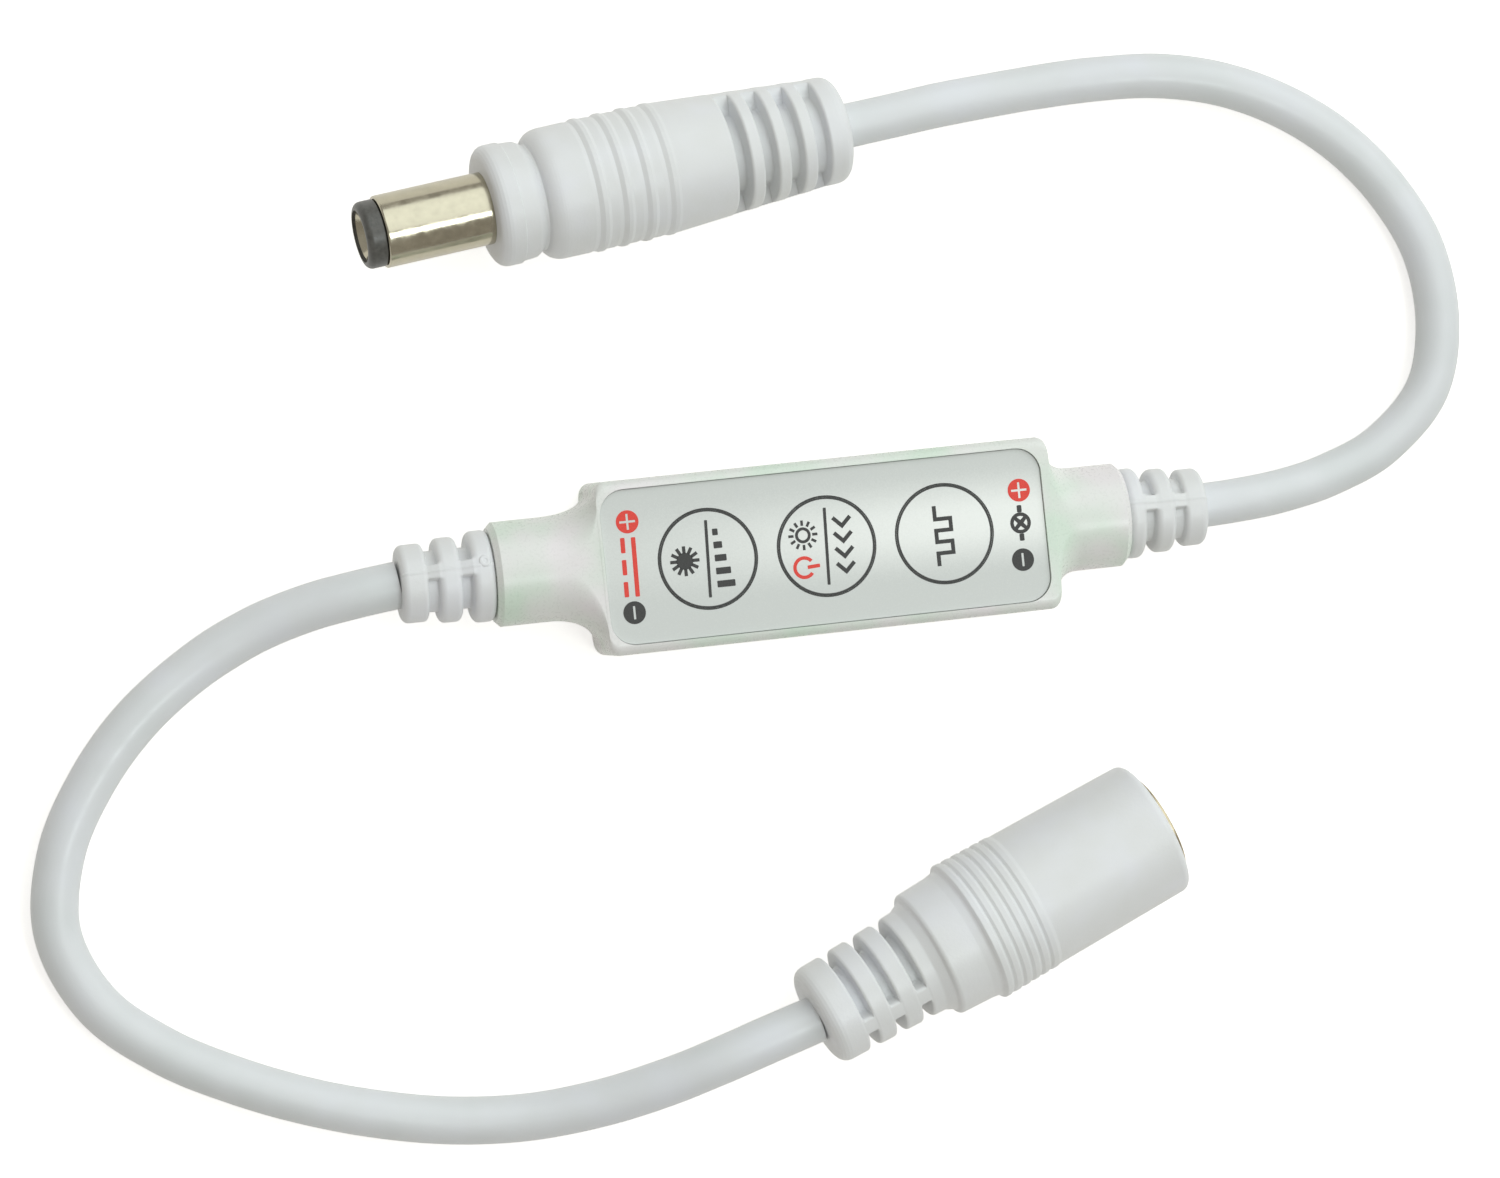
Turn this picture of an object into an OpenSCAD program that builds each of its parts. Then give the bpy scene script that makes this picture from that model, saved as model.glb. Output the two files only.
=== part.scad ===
// In-line dimmer for a strip of lamps: a slim case with three keys on its face,
// a lead that ends in a barrel socket on the supply side and a lead that ends in
// a barrel plug on the output side. It lies on the plane z = 0. The case runs
// along X, with the supply side at -X, and the keys face +Z.

/* [Case] */
// Length of the case between its end faces
case_l = 34.9; // [33.4:0.1:40]
// Width of the case
case_w = 13.1; // [12.7:0.1:16]
// Height of the case
case_h = 8; // [7.9:0.05:9]
// Thickness of the floor and the side walls
wall = 1; // [0.8:0.05:1.3]
// Radius of the upright corners
corner_r = 0.8; // [0.8:0.05:1.5]
// Radius of the long edges
edge_r = 0.9; // [0.5:0.05:1.1]

/* [Necks] */
// Diameter of the round neck at each end of the case
neck_d = 7.9; // [7.4:0.05:7.9]
// Length of the neck on the supply side
supply_neck_l = 7.9; // [6.5:0.1:12]
// Length of the neck on the output side
output_neck_l = 6.1; // [5:0.1:10]
// Sideways distance of the supply neck from the middle line of the case
supply_neck_offset = 0.45; // [0:0.05:0.6]
// Length of the flare from the case into the supply neck
supply_flare_l = 3.8; // [1.2:0.1:4.5]
// Length of the flare from the case into the output neck
output_flare_l = 2.2; // [1.2:0.1:3]
// Chamfer on the end of a neck
neck_chamfer = 0.4; // [0.2:0.05:0.6]
// Thickness of the wall that closes a neck
neck_end_t = 1.5; // [1:0.1:2]

/* [Face] */
// Distance of the printed overlay from the supply end of the case
overlay_supply_margin = 0.3; // [0.3:0.05:1.2]
// Distance of the printed overlay from the output end of the case
overlay_output_margin = 0.8; // [0.3:0.05:1.5]
// Distance of the printed overlay from the sides of the case
overlay_side_margin = 0.8; // [0.7:0.05:1.4]
// Corner radius of the printed overlay
overlay_r = 1.8; // [1:0.1:2.5]
// Thickness of the printed overlay
overlay_t = 0.25; // [0.2:0.05:0.35]
// Depth of the recess that holds the overlay
recess_depth = 0.5; // [0.4:0.05:0.6]
// Thickness of the case under the overlay
panel_t = 1.2; // [1:0.05:1.4]

/* [Keys] */
// Distance between two keys, as a share of the length of the overlay
key_pitch_share = 0.27; // [0.265:0.0005:0.28]
// Diameter of a key, as a share of the distance between two keys
key_d_share = 0.811; // [0.7:0.001:0.83]
// Travel of a key
key_travel = 0.25; // [0.15:0.01:0.3]
// Height of the crown of a key
key_crown = 0.08; // [0.02:0.01:0.15]

/* [Switches] */
// Width of a switch
switch_w = 5.2; // [4.8:0.1:6]
// Height of the plastic base of a switch
switch_h = 1.4; // [1.3:0.05:1.5]
// Thickness of the metal cover of a switch
cover_t = 0.2; // [0.15:0.01:0.25]
// Diameter of the stem of a plunger
stem_d = 3; // [2.4:0.1:3.2]
// Diameter of the flange of a plunger
plunger_flange_d = 3.7; // [3.6:0.05:3.8]
// Diameter of a contact dome
dome_d = 3.8; // [3.4:0.05:3.9]
// Height of a contact dome
dome_h = 0.45; // [0.4:0.01:0.48]

/* [Circuit board] */
// Thickness of the board
board_t = 0.8; // [0.6:0.05:0.9]
// Height of the board's underside above the outside of the case
board_level = 2.8; // [2.7:0.05:2.9]
// Diameter of the pillars under the board
pillar_d = 1.6; // [1.4:0.1:1.8]
// Diameter of the pins that locate the board
locating_pin_d = 0.8; // [0.6:0.05:0.9]

/* [Strain reliefs] */
// Length of the strain relief on the supply side
supply_relief_l = 7; // [6:0.1:9]
// Length of the strain relief on the output side
output_relief_l = 6.3; // [6:0.1:9]
// Diameter of the ring beside the neck
relief_d = 6.9; // [6.4:0.1:7.2]
// Diameter of the ring where the cord comes out
relief_end_d = 5.9; // [5.4:0.1:6.3]
// Diameter of the core between the rings
relief_core_d = 4.6; // [4.2:0.1:5]
// Width of the slots between the rings
relief_slot_w = 0.87; // [0.6:0.01:1]
// Width of the webs that join the rings
relief_web_w = 1.15; // [0.8:0.05:1.5]
// Diameter of the stem that passes the end wall of the neck
relief_stem_d = 4.8; // [4.4:0.1:5.2]
// Diameter of the flange behind the end wall
relief_flange_d = 6; // [5.6:0.1:6.1]
// Thickness of the flange behind the end wall
relief_flange_t = 1.5; // [1:0.1:1.8]

/* [Leads] */
// Diameter of the cord to the socket
socket_cord_d = 3.6; // [3.2:0.1:4]
// Diameter of the cord to the plug
plug_cord_d = 3.4; // [3.2:0.1:4]
// Diameter of an insulated core inside the case
core_d = 1.2; // [1:0.05:1.3]
// Distance between the two cores
core_pitch = 3; // [2.6:0.1:3.2]

/* [Plug] */
// Length of the moulded grip
plug_l = 28.2; // [27:0.1:32]
// Diameter of the collar round the barrel
plug_collar_d = 9.25; // [8.8:0.05:9.6]
// Length of the collar
plug_collar_l = 3.35; // [3.2:0.05:3.6]
// Diameter at the bottom of the groove behind the collar
plug_groove_d = 8; // [7.6:0.05:8.3]
// Diameter of the band, the widest part of the grip
plug_band_d = 10.05; // [9.4:0.05:10.5]
// Diameter of the grip at the cord end
plug_cap_d = 8.15; // [7.8:0.05:8.8]
// Height of the raised rings
plug_ring_rise = 0.08; // [0.04:0.01:0.2]
// Number of raised rings
plug_rings = 4; // [2:1:4]
// Width of the slots at the cord end
plug_slot_w = 1.15; // [0.8:0.05:1.3]
// Distance between two slots
plug_slot_pitch = 2.15; // [1.8:0.05:2.2]
// Diameter of the core under the slots
plug_core_d = 6; // [5.9:0.05:6.2]
// Width of the webs across the slots
plug_web_w = 1.6; // [1.2:0.1:2.2]

/* [Barrel] */
// Outside diameter of the barrel
barrel_d = 5.5; // [5.3:0.05:5.6]
// Length of metal in front of the collar
barrel_l = 8.3; // [7.5:0.1:9.5]
// Diameter of the black ring at the tip
tip_ring_d = 5.1; // [4.9:0.05:5.2]
// Length of the black ring at the tip
tip_ring_l = 1.5; // [1.2:0.05:1.8]
// Bore of the inner contact
contact_bore_d = 2.1; // [2.1:0.05:2.5]
// Outside diameter of the inner contact
contact_d = 3; // [2.9:0.05:3.2]

/* [Socket] */
// Length of the moulded body
socket_l = 30.1; // [28:0.1:33]
// Diameter at the cord end
socket_cap_d = 7.9; // [7:0.05:8.1]
// Diameter in front of the slots
socket_waist_d = 8.4; // [8:0.05:8.8]
// Diameter of the middle part where it starts
socket_middle_d = 10.2; // [9.6:0.05:10.3]
// Diameter over the grip ribs
socket_rib_d = 11.35; // [11.2:0.05:11.6]
// Number of grip ribs
socket_ribs = 6; // [3:1:6]
// Diameter of the smooth front part at the mouth
socket_front_d = 10.75; // [10.4:0.05:10.9]
// Width of the slots at the cord end
socket_slot_w = 0.85; // [0.6:0.05:1]
// Distance between two slots
socket_slot_pitch = 2.3; // [2:0.05:2.45]
// Width of the webs across the slots
socket_web_w = 1.3; // [1:0.05:1.6]
// Outside diameter of the metal shell
shell_d = 8; // [7.8:0.05:8.4]
// Thickness of the metal shell
shell_t = 0.35; // [0.25:0.05:0.45]
// Length of shell in front of the body
shell_reach = 0.4; // [0.2:0.05:0.6]
// Bore that takes a barrel
mouth_d = 5.7; // [5.6:0.05:5.9]
// Diameter of the centre pin
pin_d = 2; // [1.9:0.05:2.05]
// Depth of the hole that takes a barrel
mouth_depth = 10; // [9.5:0.1:10.6]

/* [Hidden] */
$fn = 48;

// How far a cut runs past the face that it opens
overrun = 1;
// Gap round a piece that is moulded in or pressed in
seat_gap = 0.05;
// Gap round a piece that slides or drops in
slide_gap = 0.2;
// Shortest straight left between two arcs of a section
least_flat = 0.02;
// Steps in an arc of a section
arc_steps = 6;

// Levels in the case
axis_h = case_h / 2;
face_h = case_h - recess_depth;
ceiling_h = face_h - panel_t;
board_top = board_level + board_t;

// Overlay and keys
overlay_l = case_l - overlay_supply_margin - overlay_output_margin;
overlay_w = case_w - 2 * overlay_side_margin;
overlay_gap = 0.1;
key_pitch = overlay_l * key_pitch_share;
key_d = key_pitch * key_d_share;
key_hole_d = key_d + slide_gap;
counterbore_d = key_hole_d + slide_gap;
counterbore_spare = 0.35;
counterbore_depth = key_travel + counterbore_spare;
stem_hole_d = stem_d + 2 * slide_gap;
crown_steps = 4;

// Places along the case
case_x = (supply_neck_l + supply_relief_l - output_neck_l - output_relief_l) / 2;
supply_neck_x = case_x - case_l / 2 - supply_neck_l;
output_neck_x = case_x + case_l / 2 + output_neck_l;
supply_end_x = supply_neck_x - supply_relief_l;
output_end_x = output_neck_x + output_relief_l;
face_x = case_x + (overlay_supply_margin - overlay_output_margin) / 2;
key_x = [face_x - key_pitch, face_x, face_x + key_pitch];

// Outline of the case
neck_r = neck_d / 2;
flare_drop = case_w / 2 - corner_r - neck_r;

// Inside of the case
cavity_l = case_l - 2 * wall;
cavity_w = case_w - 2 * wall;
cavity_r = 0.6;
pocket_d = relief_flange_d + slide_gap;
lip_t = 0.45;
lip_h = 0.8;
lip_gap = 0.1;

// Switches
well_d = dome_d + slide_gap;
well_floor_t = 0.5;
well_h = board_top + well_floor_t;
dome_t = 0.08;
dome_steps = 8;
plunger_gap = 0.03;
plunger_flange_t = 0.35;
plunger_h = well_h + dome_h + plunger_gap;
cover_h = board_top + switch_h;
cover_inset = 0.1;

// Board and what it carries
board_gap = 0.25;
board_l = cavity_l - 2 * board_gap;
board_w = cavity_w - 2 * board_gap;
pillar_end_inset = 1.35;
pillar_side_inset = 0.95;
pillar_x = board_l / 2 - pillar_end_inset;
pillar_y = board_w / 2 - pillar_side_inset;
pin_spots = [[-1, 1], [1, -1]];
rest_spots = [[1, 1], [-1, -1]];
locating_pin_rise = 0.3;
lead_t = 0.2;
lead_w = 0.45;
lead_l = 0.8;
chip_size = [4.9, 3.9, 1.4];
chip_pitch = 1.27;
regulator_size = [4.5, 2.5, 1.4];
regulator_pitch = 1.5;
regulator_inset = 7.2;
regulator_x = regulator_inset - board_l / 2;
transistor_size = [2.9, 1.3, 1];
transistor_pitch = 1.9;
transistor_inset = 5.8;
transistor_spacing = 4.4;
transistor_x = [board_l / 2 - transistor_inset - transistor_spacing, board_l / 2 - transistor_inset];
underside_gap = 0.1;
capacitor_size = [1.25, 2, 0.8];
resistor_size = [0.8, 1.6, 0.45];
chip_part_pitch = 2.6;
between_keys_x = key_pitch / 2;

// Cores that run from the strain reliefs to the board
core_h = board_top + core_d / 2 + seat_gap;
pad_inset = 1.6;
solder_d = 1.8;
solder_top_d = 0.9;
solder_h = 1.2;

// Strain reliefs
relief_edge_r = 0.5;
supply_web_turn = 16;
output_web_turn = 13;
relief_rings = 3;
web_sink = 0.05;
flange_inner = neck_end_t + seat_gap + relief_flange_t;

// Stations along the plug, from the front of its collar
plug_nose_r = 1.2;
plug_collar_flat = 1.6;
plug_ridge_at = 2.18;
plug_ridge_d = 9.06;
plug_collar_rear_d = 8.5;
plug_groove_end = 3.8;
plug_band_at = 5.15;
plug_band_end = 7.2;
plug_step = 0.1;
plug_ring_at = 8.05;
plug_ring_pitch = 1.86;
plug_ring_w = 0.8;
plug_taper_at = plug_ring_at + (plug_rings - 1) * plug_ring_pitch;
plug_cap_r = 1.3;
plug_cap_at = plug_l - plug_cap_r;
plug_cap_l = 2;
plug_slots = 4;
plug_slot_at = plug_l - plug_cap_l - plug_slot_w - (plug_slots - 1) * plug_slot_pitch;
plug_web_turn = 13;
barrel_bore_d = 4.4;
barrel_root_d = 5;
barrel_seat_l = 4;
barrel_flange_d = 7.2;
barrel_flange_t = 1;
insulator_back_l = 0.8;
contact_tail_d = 1.5;
contact_tail_l = 2;
contact_back_t = 0.8;
funnel_l = 1.5;
funnel_bore_d = 3.5;
funnel_inset = 0.2;
funnel_wall = 0.18;
funnel_hole_r = funnel_bore_d / 2 + funnel_wall + seat_gap;
tip_land = 0.07;
tip_edge_r = tip_ring_d / 2 - funnel_hole_r - tip_land;
tip_front = -barrel_l - tip_ring_l;
funnel_front = tip_front + funnel_inset;
funnel_back = funnel_front + funnel_l;
contact_back = barrel_seat_l + insulator_back_l + contact_back_t;

// Stations along the socket, from its cord end
socket_cap_r = 0.9;
socket_slot_at = 2.45;
socket_slots = 3;
socket_core_d = 5.4;
socket_web_turn = 30;
socket_waist_at = 9;
socket_shoulder_at = 9.8;
socket_shoulder_r = 0.5;
socket_middle_end = 12.6;
socket_middle_end_d = 10.4;
socket_rib_at = 13.75;
socket_rib_pitch = 0.83;
socket_rib_depth = 0.15;
socket_front_at = socket_rib_at + socket_ribs * socket_rib_pitch - socket_rib_pitch / 2;
socket_front_start_d = 11.05;
socket_mouth_r = 0.6;
insert_inset = 0.2;
insert_floor_t = 1.5;
insert_back = socket_l - mouth_depth - insert_floor_t;
pin_inset = 0.8;
pin_root_d = 2.4;
pin_shoulder_d = 3.2;
pin_shoulder_t = 1;
leaf_t = 0.3;
leaf_w = 1.6;
leaf_window_gap = 0.2;
leaf_start = 1;
leaf_l = 6;
shell_bore_d = shell_d - 2 * shell_t;
insert_d = shell_bore_d - 2 * seat_gap;

// The plug lies on its last ring and its cap, the socket on its last rib and its mouth
plug_yaw = 7.4;
plug_tilt = atan((plug_band_d - plug_cap_d) / 2 / (plug_cap_at - plug_taper_at));
plug_rear_h = plug_cap_d / 2 * cos(plug_tilt) - plug_cap_r * sin(plug_tilt) + seat_gap;
socket_yaw = 22.4;
socket_rib_end = socket_rib_at + (socket_ribs - 1) * socket_rib_pitch;
socket_tilt = atan((socket_rib_d - socket_front_d) / 2 / (socket_l - socket_mouth_r - socket_rib_end));
socket_rear_h = socket_rib_d / 2 * cos(socket_tilt) + socket_rib_end * sin(socket_tilt) + seat_gap;

// Routes of the cords
plug_rear = [6, 31.4, plug_rear_h];
socket_rear = [-3.2, -35.4, socket_rear_h];
plug_cord_route = concat([plug_rear],
    [[10.3, 31.95, 3.7], [14, 32.45, 3.2], [18, 32.85, 2.5], [22.2, 33.2, 2], [26.8, 33.4, 1.8],
    [31.9, 33.2, 1.8], [36.9, 32.1, 1.8], [41.7, 29.9, 1.8], [45.9, 26.75, 1.8], [49.3, 22.65, 1.8],
    [51.65, 17.8, 1.8], [52.2, 12.2, 1.8], [50.75, 7, 1.8], [46.7, 3.2, 1.9], [42.2, 1.35, 2.3],
    [38.1, 0.5, 3.1], [34.4, 0.15, 3.8]],
    [[output_end_x, 0, axis_h]]);
socket_cord_route = concat([[supply_end_x, supply_neck_offset, axis_h]],
    [[-34.4, 0.05, 3.8], [-38.1, -0.6, 3.1], [-42.3, -1.9, 2.3], [-46.8, -4.15, 1.9], [-51.4, -7.5, 1.9],
    [-55.15, -11.7, 1.9], [-58, -16.8, 1.9], [-58.9, -22.75, 1.9], [-56.5, -28.35, 1.9],
    [-52, -32.3, 1.9], [-46.95, -35.1, 1.9], [-41.75, -37.3, 1.9], [-36.45, -38.95, 1.9],
    [-30.9, -40.1, 1.9], [-25.2, -40.5, 2.3], [-19.7, -40, 3.4], [-14.9, -38.95, 4.7],
    [-10.9, -37.75, 5.75], [-7.1, -36.55, 6.15]],
    [socket_rear]);
cord_sides = 8;

// Points of an arc round c from angle a0 to a1
function arc(c, r, a0, a1, n = arc_steps) =
    [for (k = [0:n]) let (a = a0 + (a1 - a0) * k / n) [c[0] + r * cos(a), c[1] + r * sin(a)]];

// Points of a rectangle with round corners, centred
function round_rect(l, w, r) = concat(
    arc([l / 2 - r, w / 2 - r], r, 0, 90),
    arc([r - l / 2, w / 2 - r], r, 90, 180),
    arc([r - l / 2, r - w / 2], r, 180, 270),
    arc([l / 2 - r, r - w / 2], r, 270, 360));

function reversed(list) = [for (i = [len(list) - 1:-1:0]) list[i]];
function unit(v) = v / norm(v);

// Direction of an axis that is turned by yaw and dips by tilt
function axis_dir(yaw, tilt) = [cos(yaw) * cos(tilt), sin(yaw) * cos(tilt), -sin(tilt)];

// Solid through rings of equally many points
module loft(rings) {
    n = len(rings[0]);
    last = len(rings) - 1;
    points = [for (ring = rings) each ring];
    sides = [for (i = [0:last - 1], j = [0:n - 1]) let (k = (j + 1) % n)
        each [[i * n + j, (i + 1) * n + j, (i + 1) * n + k], [i * n + j, (i + 1) * n + k, i * n + k]]];
    start = [for (j = [0:n - 1]) j];
    end = [for (j = [0:n - 1]) last * n + n - 1 - j];
    polyhedron(points, concat(sides, [start, end]), convexity = 6);
}

// Upright prism on a rounded rectangle
module round_block(l, w, h, r) {
    linear_extrude(h) polygon(round_rect(l, w, r));
}

// Places its children with their Z axis along the case, from x and y, facing the output (1) or
// supply (-1) end
module along_case(x, y, side) {
    translate([x, y, axis_h]) rotate([0, side * 90, 0]) children();
}

// Places its children with their Z axis along the plug, from the front of the collar
module at_plug() {
    translate(plug_rear) rotate([0, 90 + plug_tilt, plug_yaw]) translate([0, 0, -plug_l]) children();
}

// Places its children with their Z axis along the socket, from the cord end
module at_socket() {
    translate(socket_rear) rotate([0, 90 + socket_tilt, socket_yaw]) children();
}

// Tube with a straight bore, from z0 to z1
module tube(outer_d, bore_d, z0, z1) {
    difference() {
        translate([0, 0, z0]) cylinder(d = outer_d, h = z1 - z0);
        translate([0, 0, z0 - overrun]) cylinder(d = bore_d, h = z1 - z0 + 2 * overrun);
    }
}

// Rod from z0 to z1
module rod(d, z0, z1) {
    translate([0, 0, z0]) cylinder(d = d, h = z1 - z0);
}

// Bar that joins rings across their slots, on both sides of a core
module webs(w, z0, z1, d0, d1, turn) {
    intersection() {
        translate([0, 0, z0]) cylinder(d1 = d0 - 2 * web_sink, d2 = d1 - 2 * web_sink, h = z1 - z0);
        rotate(turn) translate([-max(d0, d1) / 2, -w / 2, z0]) cube([max(d0, d1), w, z1 - z0]);
    }
}

// Stations of one end of the case: place, half width, half height, edge radius and offset
function end_stations(neck_l, flare_l, offset) = concat(
    [[case_l / 2 + neck_l, neck_r - neck_chamfer, neck_r - neck_chamfer,
        neck_r - neck_chamfer - least_flat, offset],
    [case_l / 2 + neck_l - neck_chamfer, neck_r, neck_r, neck_r - least_flat, offset]],
    [for (k = [0:arc_steps]) let (a = 90 * k / arc_steps, share = 1 - cos(a))
        [case_l / 2 + flare_l * (1 - sin(a)), neck_r + flare_drop * share,
        neck_r + (case_h / 2 - neck_r) * share,
        neck_r - least_flat + (edge_r - neck_r + least_flat) * share, offset * (1 - share)]],
    [for (k = [1:arc_steps]) let (a = 90 * k / arc_steps)
        [case_l / 2 - corner_r * (1 - cos(a)), case_w / 2 - corner_r * (1 - sin(a)),
        case_h / 2, edge_r, 0]]);

function case_section(x, s) =
    [for (p = round_rect(2 * s[1], 2 * s[2], s[3])) [x, p[0] + s[4], p[1] + axis_h]];

// Outside of the whole case, necks included
module case_form() {
    supply_end = end_stations(supply_neck_l, supply_flare_l, supply_neck_offset);
    output_end = end_stations(output_neck_l, output_flare_l, 0);
    loft(concat(
        [for (s = supply_end) case_section(case_x - s[0], s)],
        [for (s = reversed(output_end)) case_section(case_x + s[0], s)]));
}

// Room inside the case for the board, and the passages through the necks
module case_room() {
    translate([case_x, 0, wall]) round_block(cavity_l, cavity_w, ceiling_h - wall, cavity_r);
    neck_passage(supply_neck_x, supply_neck_offset, 1, supply_neck_l);
    neck_passage(output_neck_x, 0, -1, output_neck_l);
}

// Passage through a neck: a bore in the end wall, then the pocket for the flange
module neck_passage(x, y, side, neck_l) {
    along_case(x, y, side) {
        rod(pocket_d, neck_end_t, neck_l + wall + overrun);
        rod(relief_stem_d + slide_gap, -overrun, neck_end_t + overrun);
    }
}

// Lip that locates the upper case on the lower one
module case_lip(gap) {
    translate([case_x, 0, axis_h - overrun])
        round_block(cavity_l + 2 * (lip_t + gap), cavity_w + 2 * (lip_t + gap),
            lip_h + gap + overrun, cavity_r + lip_t);
}

// Block over everything below or above the parting plane
module half_space(top) {
    reach = output_end_x - supply_end_x;
    translate([-reach / 2, -case_w, top ? axis_h : -overrun]) cube([reach, 2 * case_w, axis_h + overrun]);
}

module lower_case() {
    color("white") {
        difference() {
            union() {
                intersection() {
                    case_form();
                    half_space(false);
                }
                case_lip(0);
            }
            case_room();
        }
        for (spot = concat(pin_spots, rest_spots))
            translate([case_x + spot[0] * pillar_x, spot[1] * pillar_y, wall / 2])
                cylinder(d = pillar_d, h = board_level - wall / 2);
        for (spot = pin_spots)
            translate([case_x + spot[0] * pillar_x, spot[1] * pillar_y, wall])
                cylinder(d = locating_pin_d, h = board_top + locating_pin_rise - wall);
    }
}

module upper_case() {
    color("white") {
        difference() {
            intersection() {
                case_form();
                half_space(true);
            }
            case_room();
            case_lip(lip_gap);
            translate([face_x, 0, face_h])
                round_block(overlay_l + 2 * overlay_gap, overlay_w + 2 * overlay_gap,
                    recess_depth + overrun, overlay_r + overlay_gap);
            for (x = key_x) translate([x, 0, 0]) {
                rod(stem_hole_d, ceiling_h - overrun, case_h);
                rod(counterbore_d, face_h - counterbore_depth, case_h);
            }
        }
        for (spot = rest_spots)
            translate([case_x + spot[0] * pillar_x, spot[1] * pillar_y, board_top])
                cylinder(d = pillar_d, h = ceiling_h + panel_t / 2 - board_top);
    }
}

module keypad_label() {
    color("gainsboro") difference() {
        translate([face_x, 0, face_h]) round_block(overlay_l, overlay_w, overlay_t, overlay_r);
        for (x = key_x) translate([x, 0, 0]) rod(key_hole_d, face_h - overrun, case_h);
    }
}

// Disc of the overlay that a finger presses, with a slight crown
module key_disc(i) {
    crown = [for (k = [0:crown_steps]) let (share = 1 - k / crown_steps)
        [key_d / 2 * share, overlay_t + key_crown * (1 - share * share)]];
    color("gainsboro") translate([key_x[i], 0, face_h])
        rotate_extrude() polygon(concat([[0, 0], [key_d / 2, 0]], crown));
}

// Base of a switch, with the well that holds its dome
module switch_base(i) {
    color("black") translate([key_x[i], 0, 0]) difference() {
        translate([-switch_w / 2, -switch_w / 2, board_top]) cube([switch_w, switch_w, switch_h]);
        rod(well_d, well_h, cover_h + overrun);
    }
}

// Sheet cover of a switch, which keeps the plunger in
module switch_cover(i) {
    cover_w = switch_w - 2 * cover_inset;
    color("silver") translate([key_x[i], 0, 0]) difference() {
        translate([-cover_w / 2, -cover_w / 2, cover_h]) cube([cover_w, cover_w, cover_t]);
        rod(stem_hole_d, cover_h - overrun, cover_h + cover_t + overrun);
    }
}

// Snap dome of a switch, a thin spherical cap
module switch_dome(i) {
    sphere_r = (pow(dome_d / 2, 2) + pow(dome_h, 2)) / (2 * dome_h);
    foot_a = acos(dome_d / 2 / sphere_r);
    centre = [0, dome_h - sphere_r];
    outer = arc(centre, sphere_r, foot_a, 90, dome_steps);
    inner = arc(centre, sphere_r - dome_t, 90, foot_a, dome_steps);
    color("silver") translate([key_x[i], 0, well_h])
        rotate_extrude() polygon(concat(outer, [for (p = inner) [p[0], max(p[1], 0)]]));
}

// Plunger of a switch, from the dome up to the key disc
module switch_plunger(i) {
    color("dimgray") translate([key_x[i], 0, 0]) {
        rod(plunger_flange_d, plunger_h, plunger_h + plunger_flange_t);
        rod(stem_d, plunger_h, face_h);
    }
}

module circuit_board() {
    color("darkgreen") difference() {
        translate([case_x - board_l / 2, -board_w / 2, board_level]) cube([board_l, board_w, board_t]);
        for (spot = pin_spots)
            translate([case_x + spot[0] * pillar_x, spot[1] * pillar_y, 0])
                rod(locating_pin_d + slide_gap, board_level - overrun, board_top + overrun);
    }
}

// Block that hangs under the board, centred on x from the middle of the case
module under_board(x, size) {
    translate([case_x + x - size[0] / 2, -size[1] / 2, board_level - underside_gap - size[2]]) cube(size);
}

// Leads along one side of a block that hangs under the board
module under_leads(x, size, pitch, count, side) {
    for (k = [0:count - 1])
        translate([case_x + x + (k - (count - 1) / 2) * pitch - lead_w / 2,
            side > 0 ? size[1] / 2 : -size[1] / 2 - lead_l, board_level - lead_t])
            cube([lead_w, lead_l, lead_t]);
}

module controller_chip() {
    color("black") under_board(0, chip_size);
}

module voltage_regulator() {
    color("black") under_board(regulator_x, regulator_size);
}

module power_transistors() {
    color("black") for (x = transistor_x) under_board(x, transistor_size);
}

module component_leads() {
    color("silver") {
        for (side = [-1, 1]) under_leads(0, chip_size, chip_pitch, 4, side);
        under_leads(regulator_x, regulator_size, regulator_pitch, 3, -1);
        for (x = transistor_x) {
            under_leads(x, transistor_size, transistor_pitch, 2, -1);
            under_leads(x, transistor_size, transistor_pitch, 1, 1);
        }
        for (x = key_x, side = [-1, 1], end = [-1, 1])
            translate([x + end * (switch_w / 2 - lead_w) - lead_w / 2,
                side > 0 ? switch_w / 2 : -switch_w / 2 - lead_l, board_top])
                cube([lead_w, lead_l, lead_t]);
    }
}

// Row of small chip parts on the board between two keys
module chip_parts(x, size, count) {
    for (k = [0:count - 1])
        translate([x - size[0] / 2, (k - (count - 1) / 2) * chip_part_pitch - size[1] / 2, board_top])
            cube(size);
}

module capacitors() {
    color("tan") chip_parts(face_x - between_keys_x, capacitor_size, 3);
}

module resistors() {
    color("black") chip_parts(face_x + between_keys_x, resistor_size, 3);
}

// Insulated core, from the flange of a strain relief to its pad on the board
module core(x, side, neck_l, y) {
    along_case(x, y, side) translate([-side * (core_h - axis_h), 0, 0])
        rod(core_d, flange_inner, neck_l + wall + pad_inset);
}

module supply_core(y) {
    core(supply_neck_x, 1, supply_neck_l, supply_neck_offset + y);
}

module output_core(y) {
    core(output_neck_x, -1, output_neck_l, y);
}

// Solder round the bare end of a core
module solder_joint(x, y) {
    translate([x, y, board_top]) cylinder(d1 = solder_d, d2 = solder_top_d, h = solder_h);
}

module solder_joints() {
    color("silver") difference() {
        for (y = [-core_pitch / 2, core_pitch / 2]) {
            solder_joint(supply_neck_x + supply_neck_l + wall + pad_inset, supply_neck_offset + y);
            solder_joint(output_neck_x - output_neck_l - wall - pad_inset, y);
        }
        for (y = [-core_pitch / 2, core_pitch / 2]) {
            supply_core(y);
            output_core(y);
        }
    }
}

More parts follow.
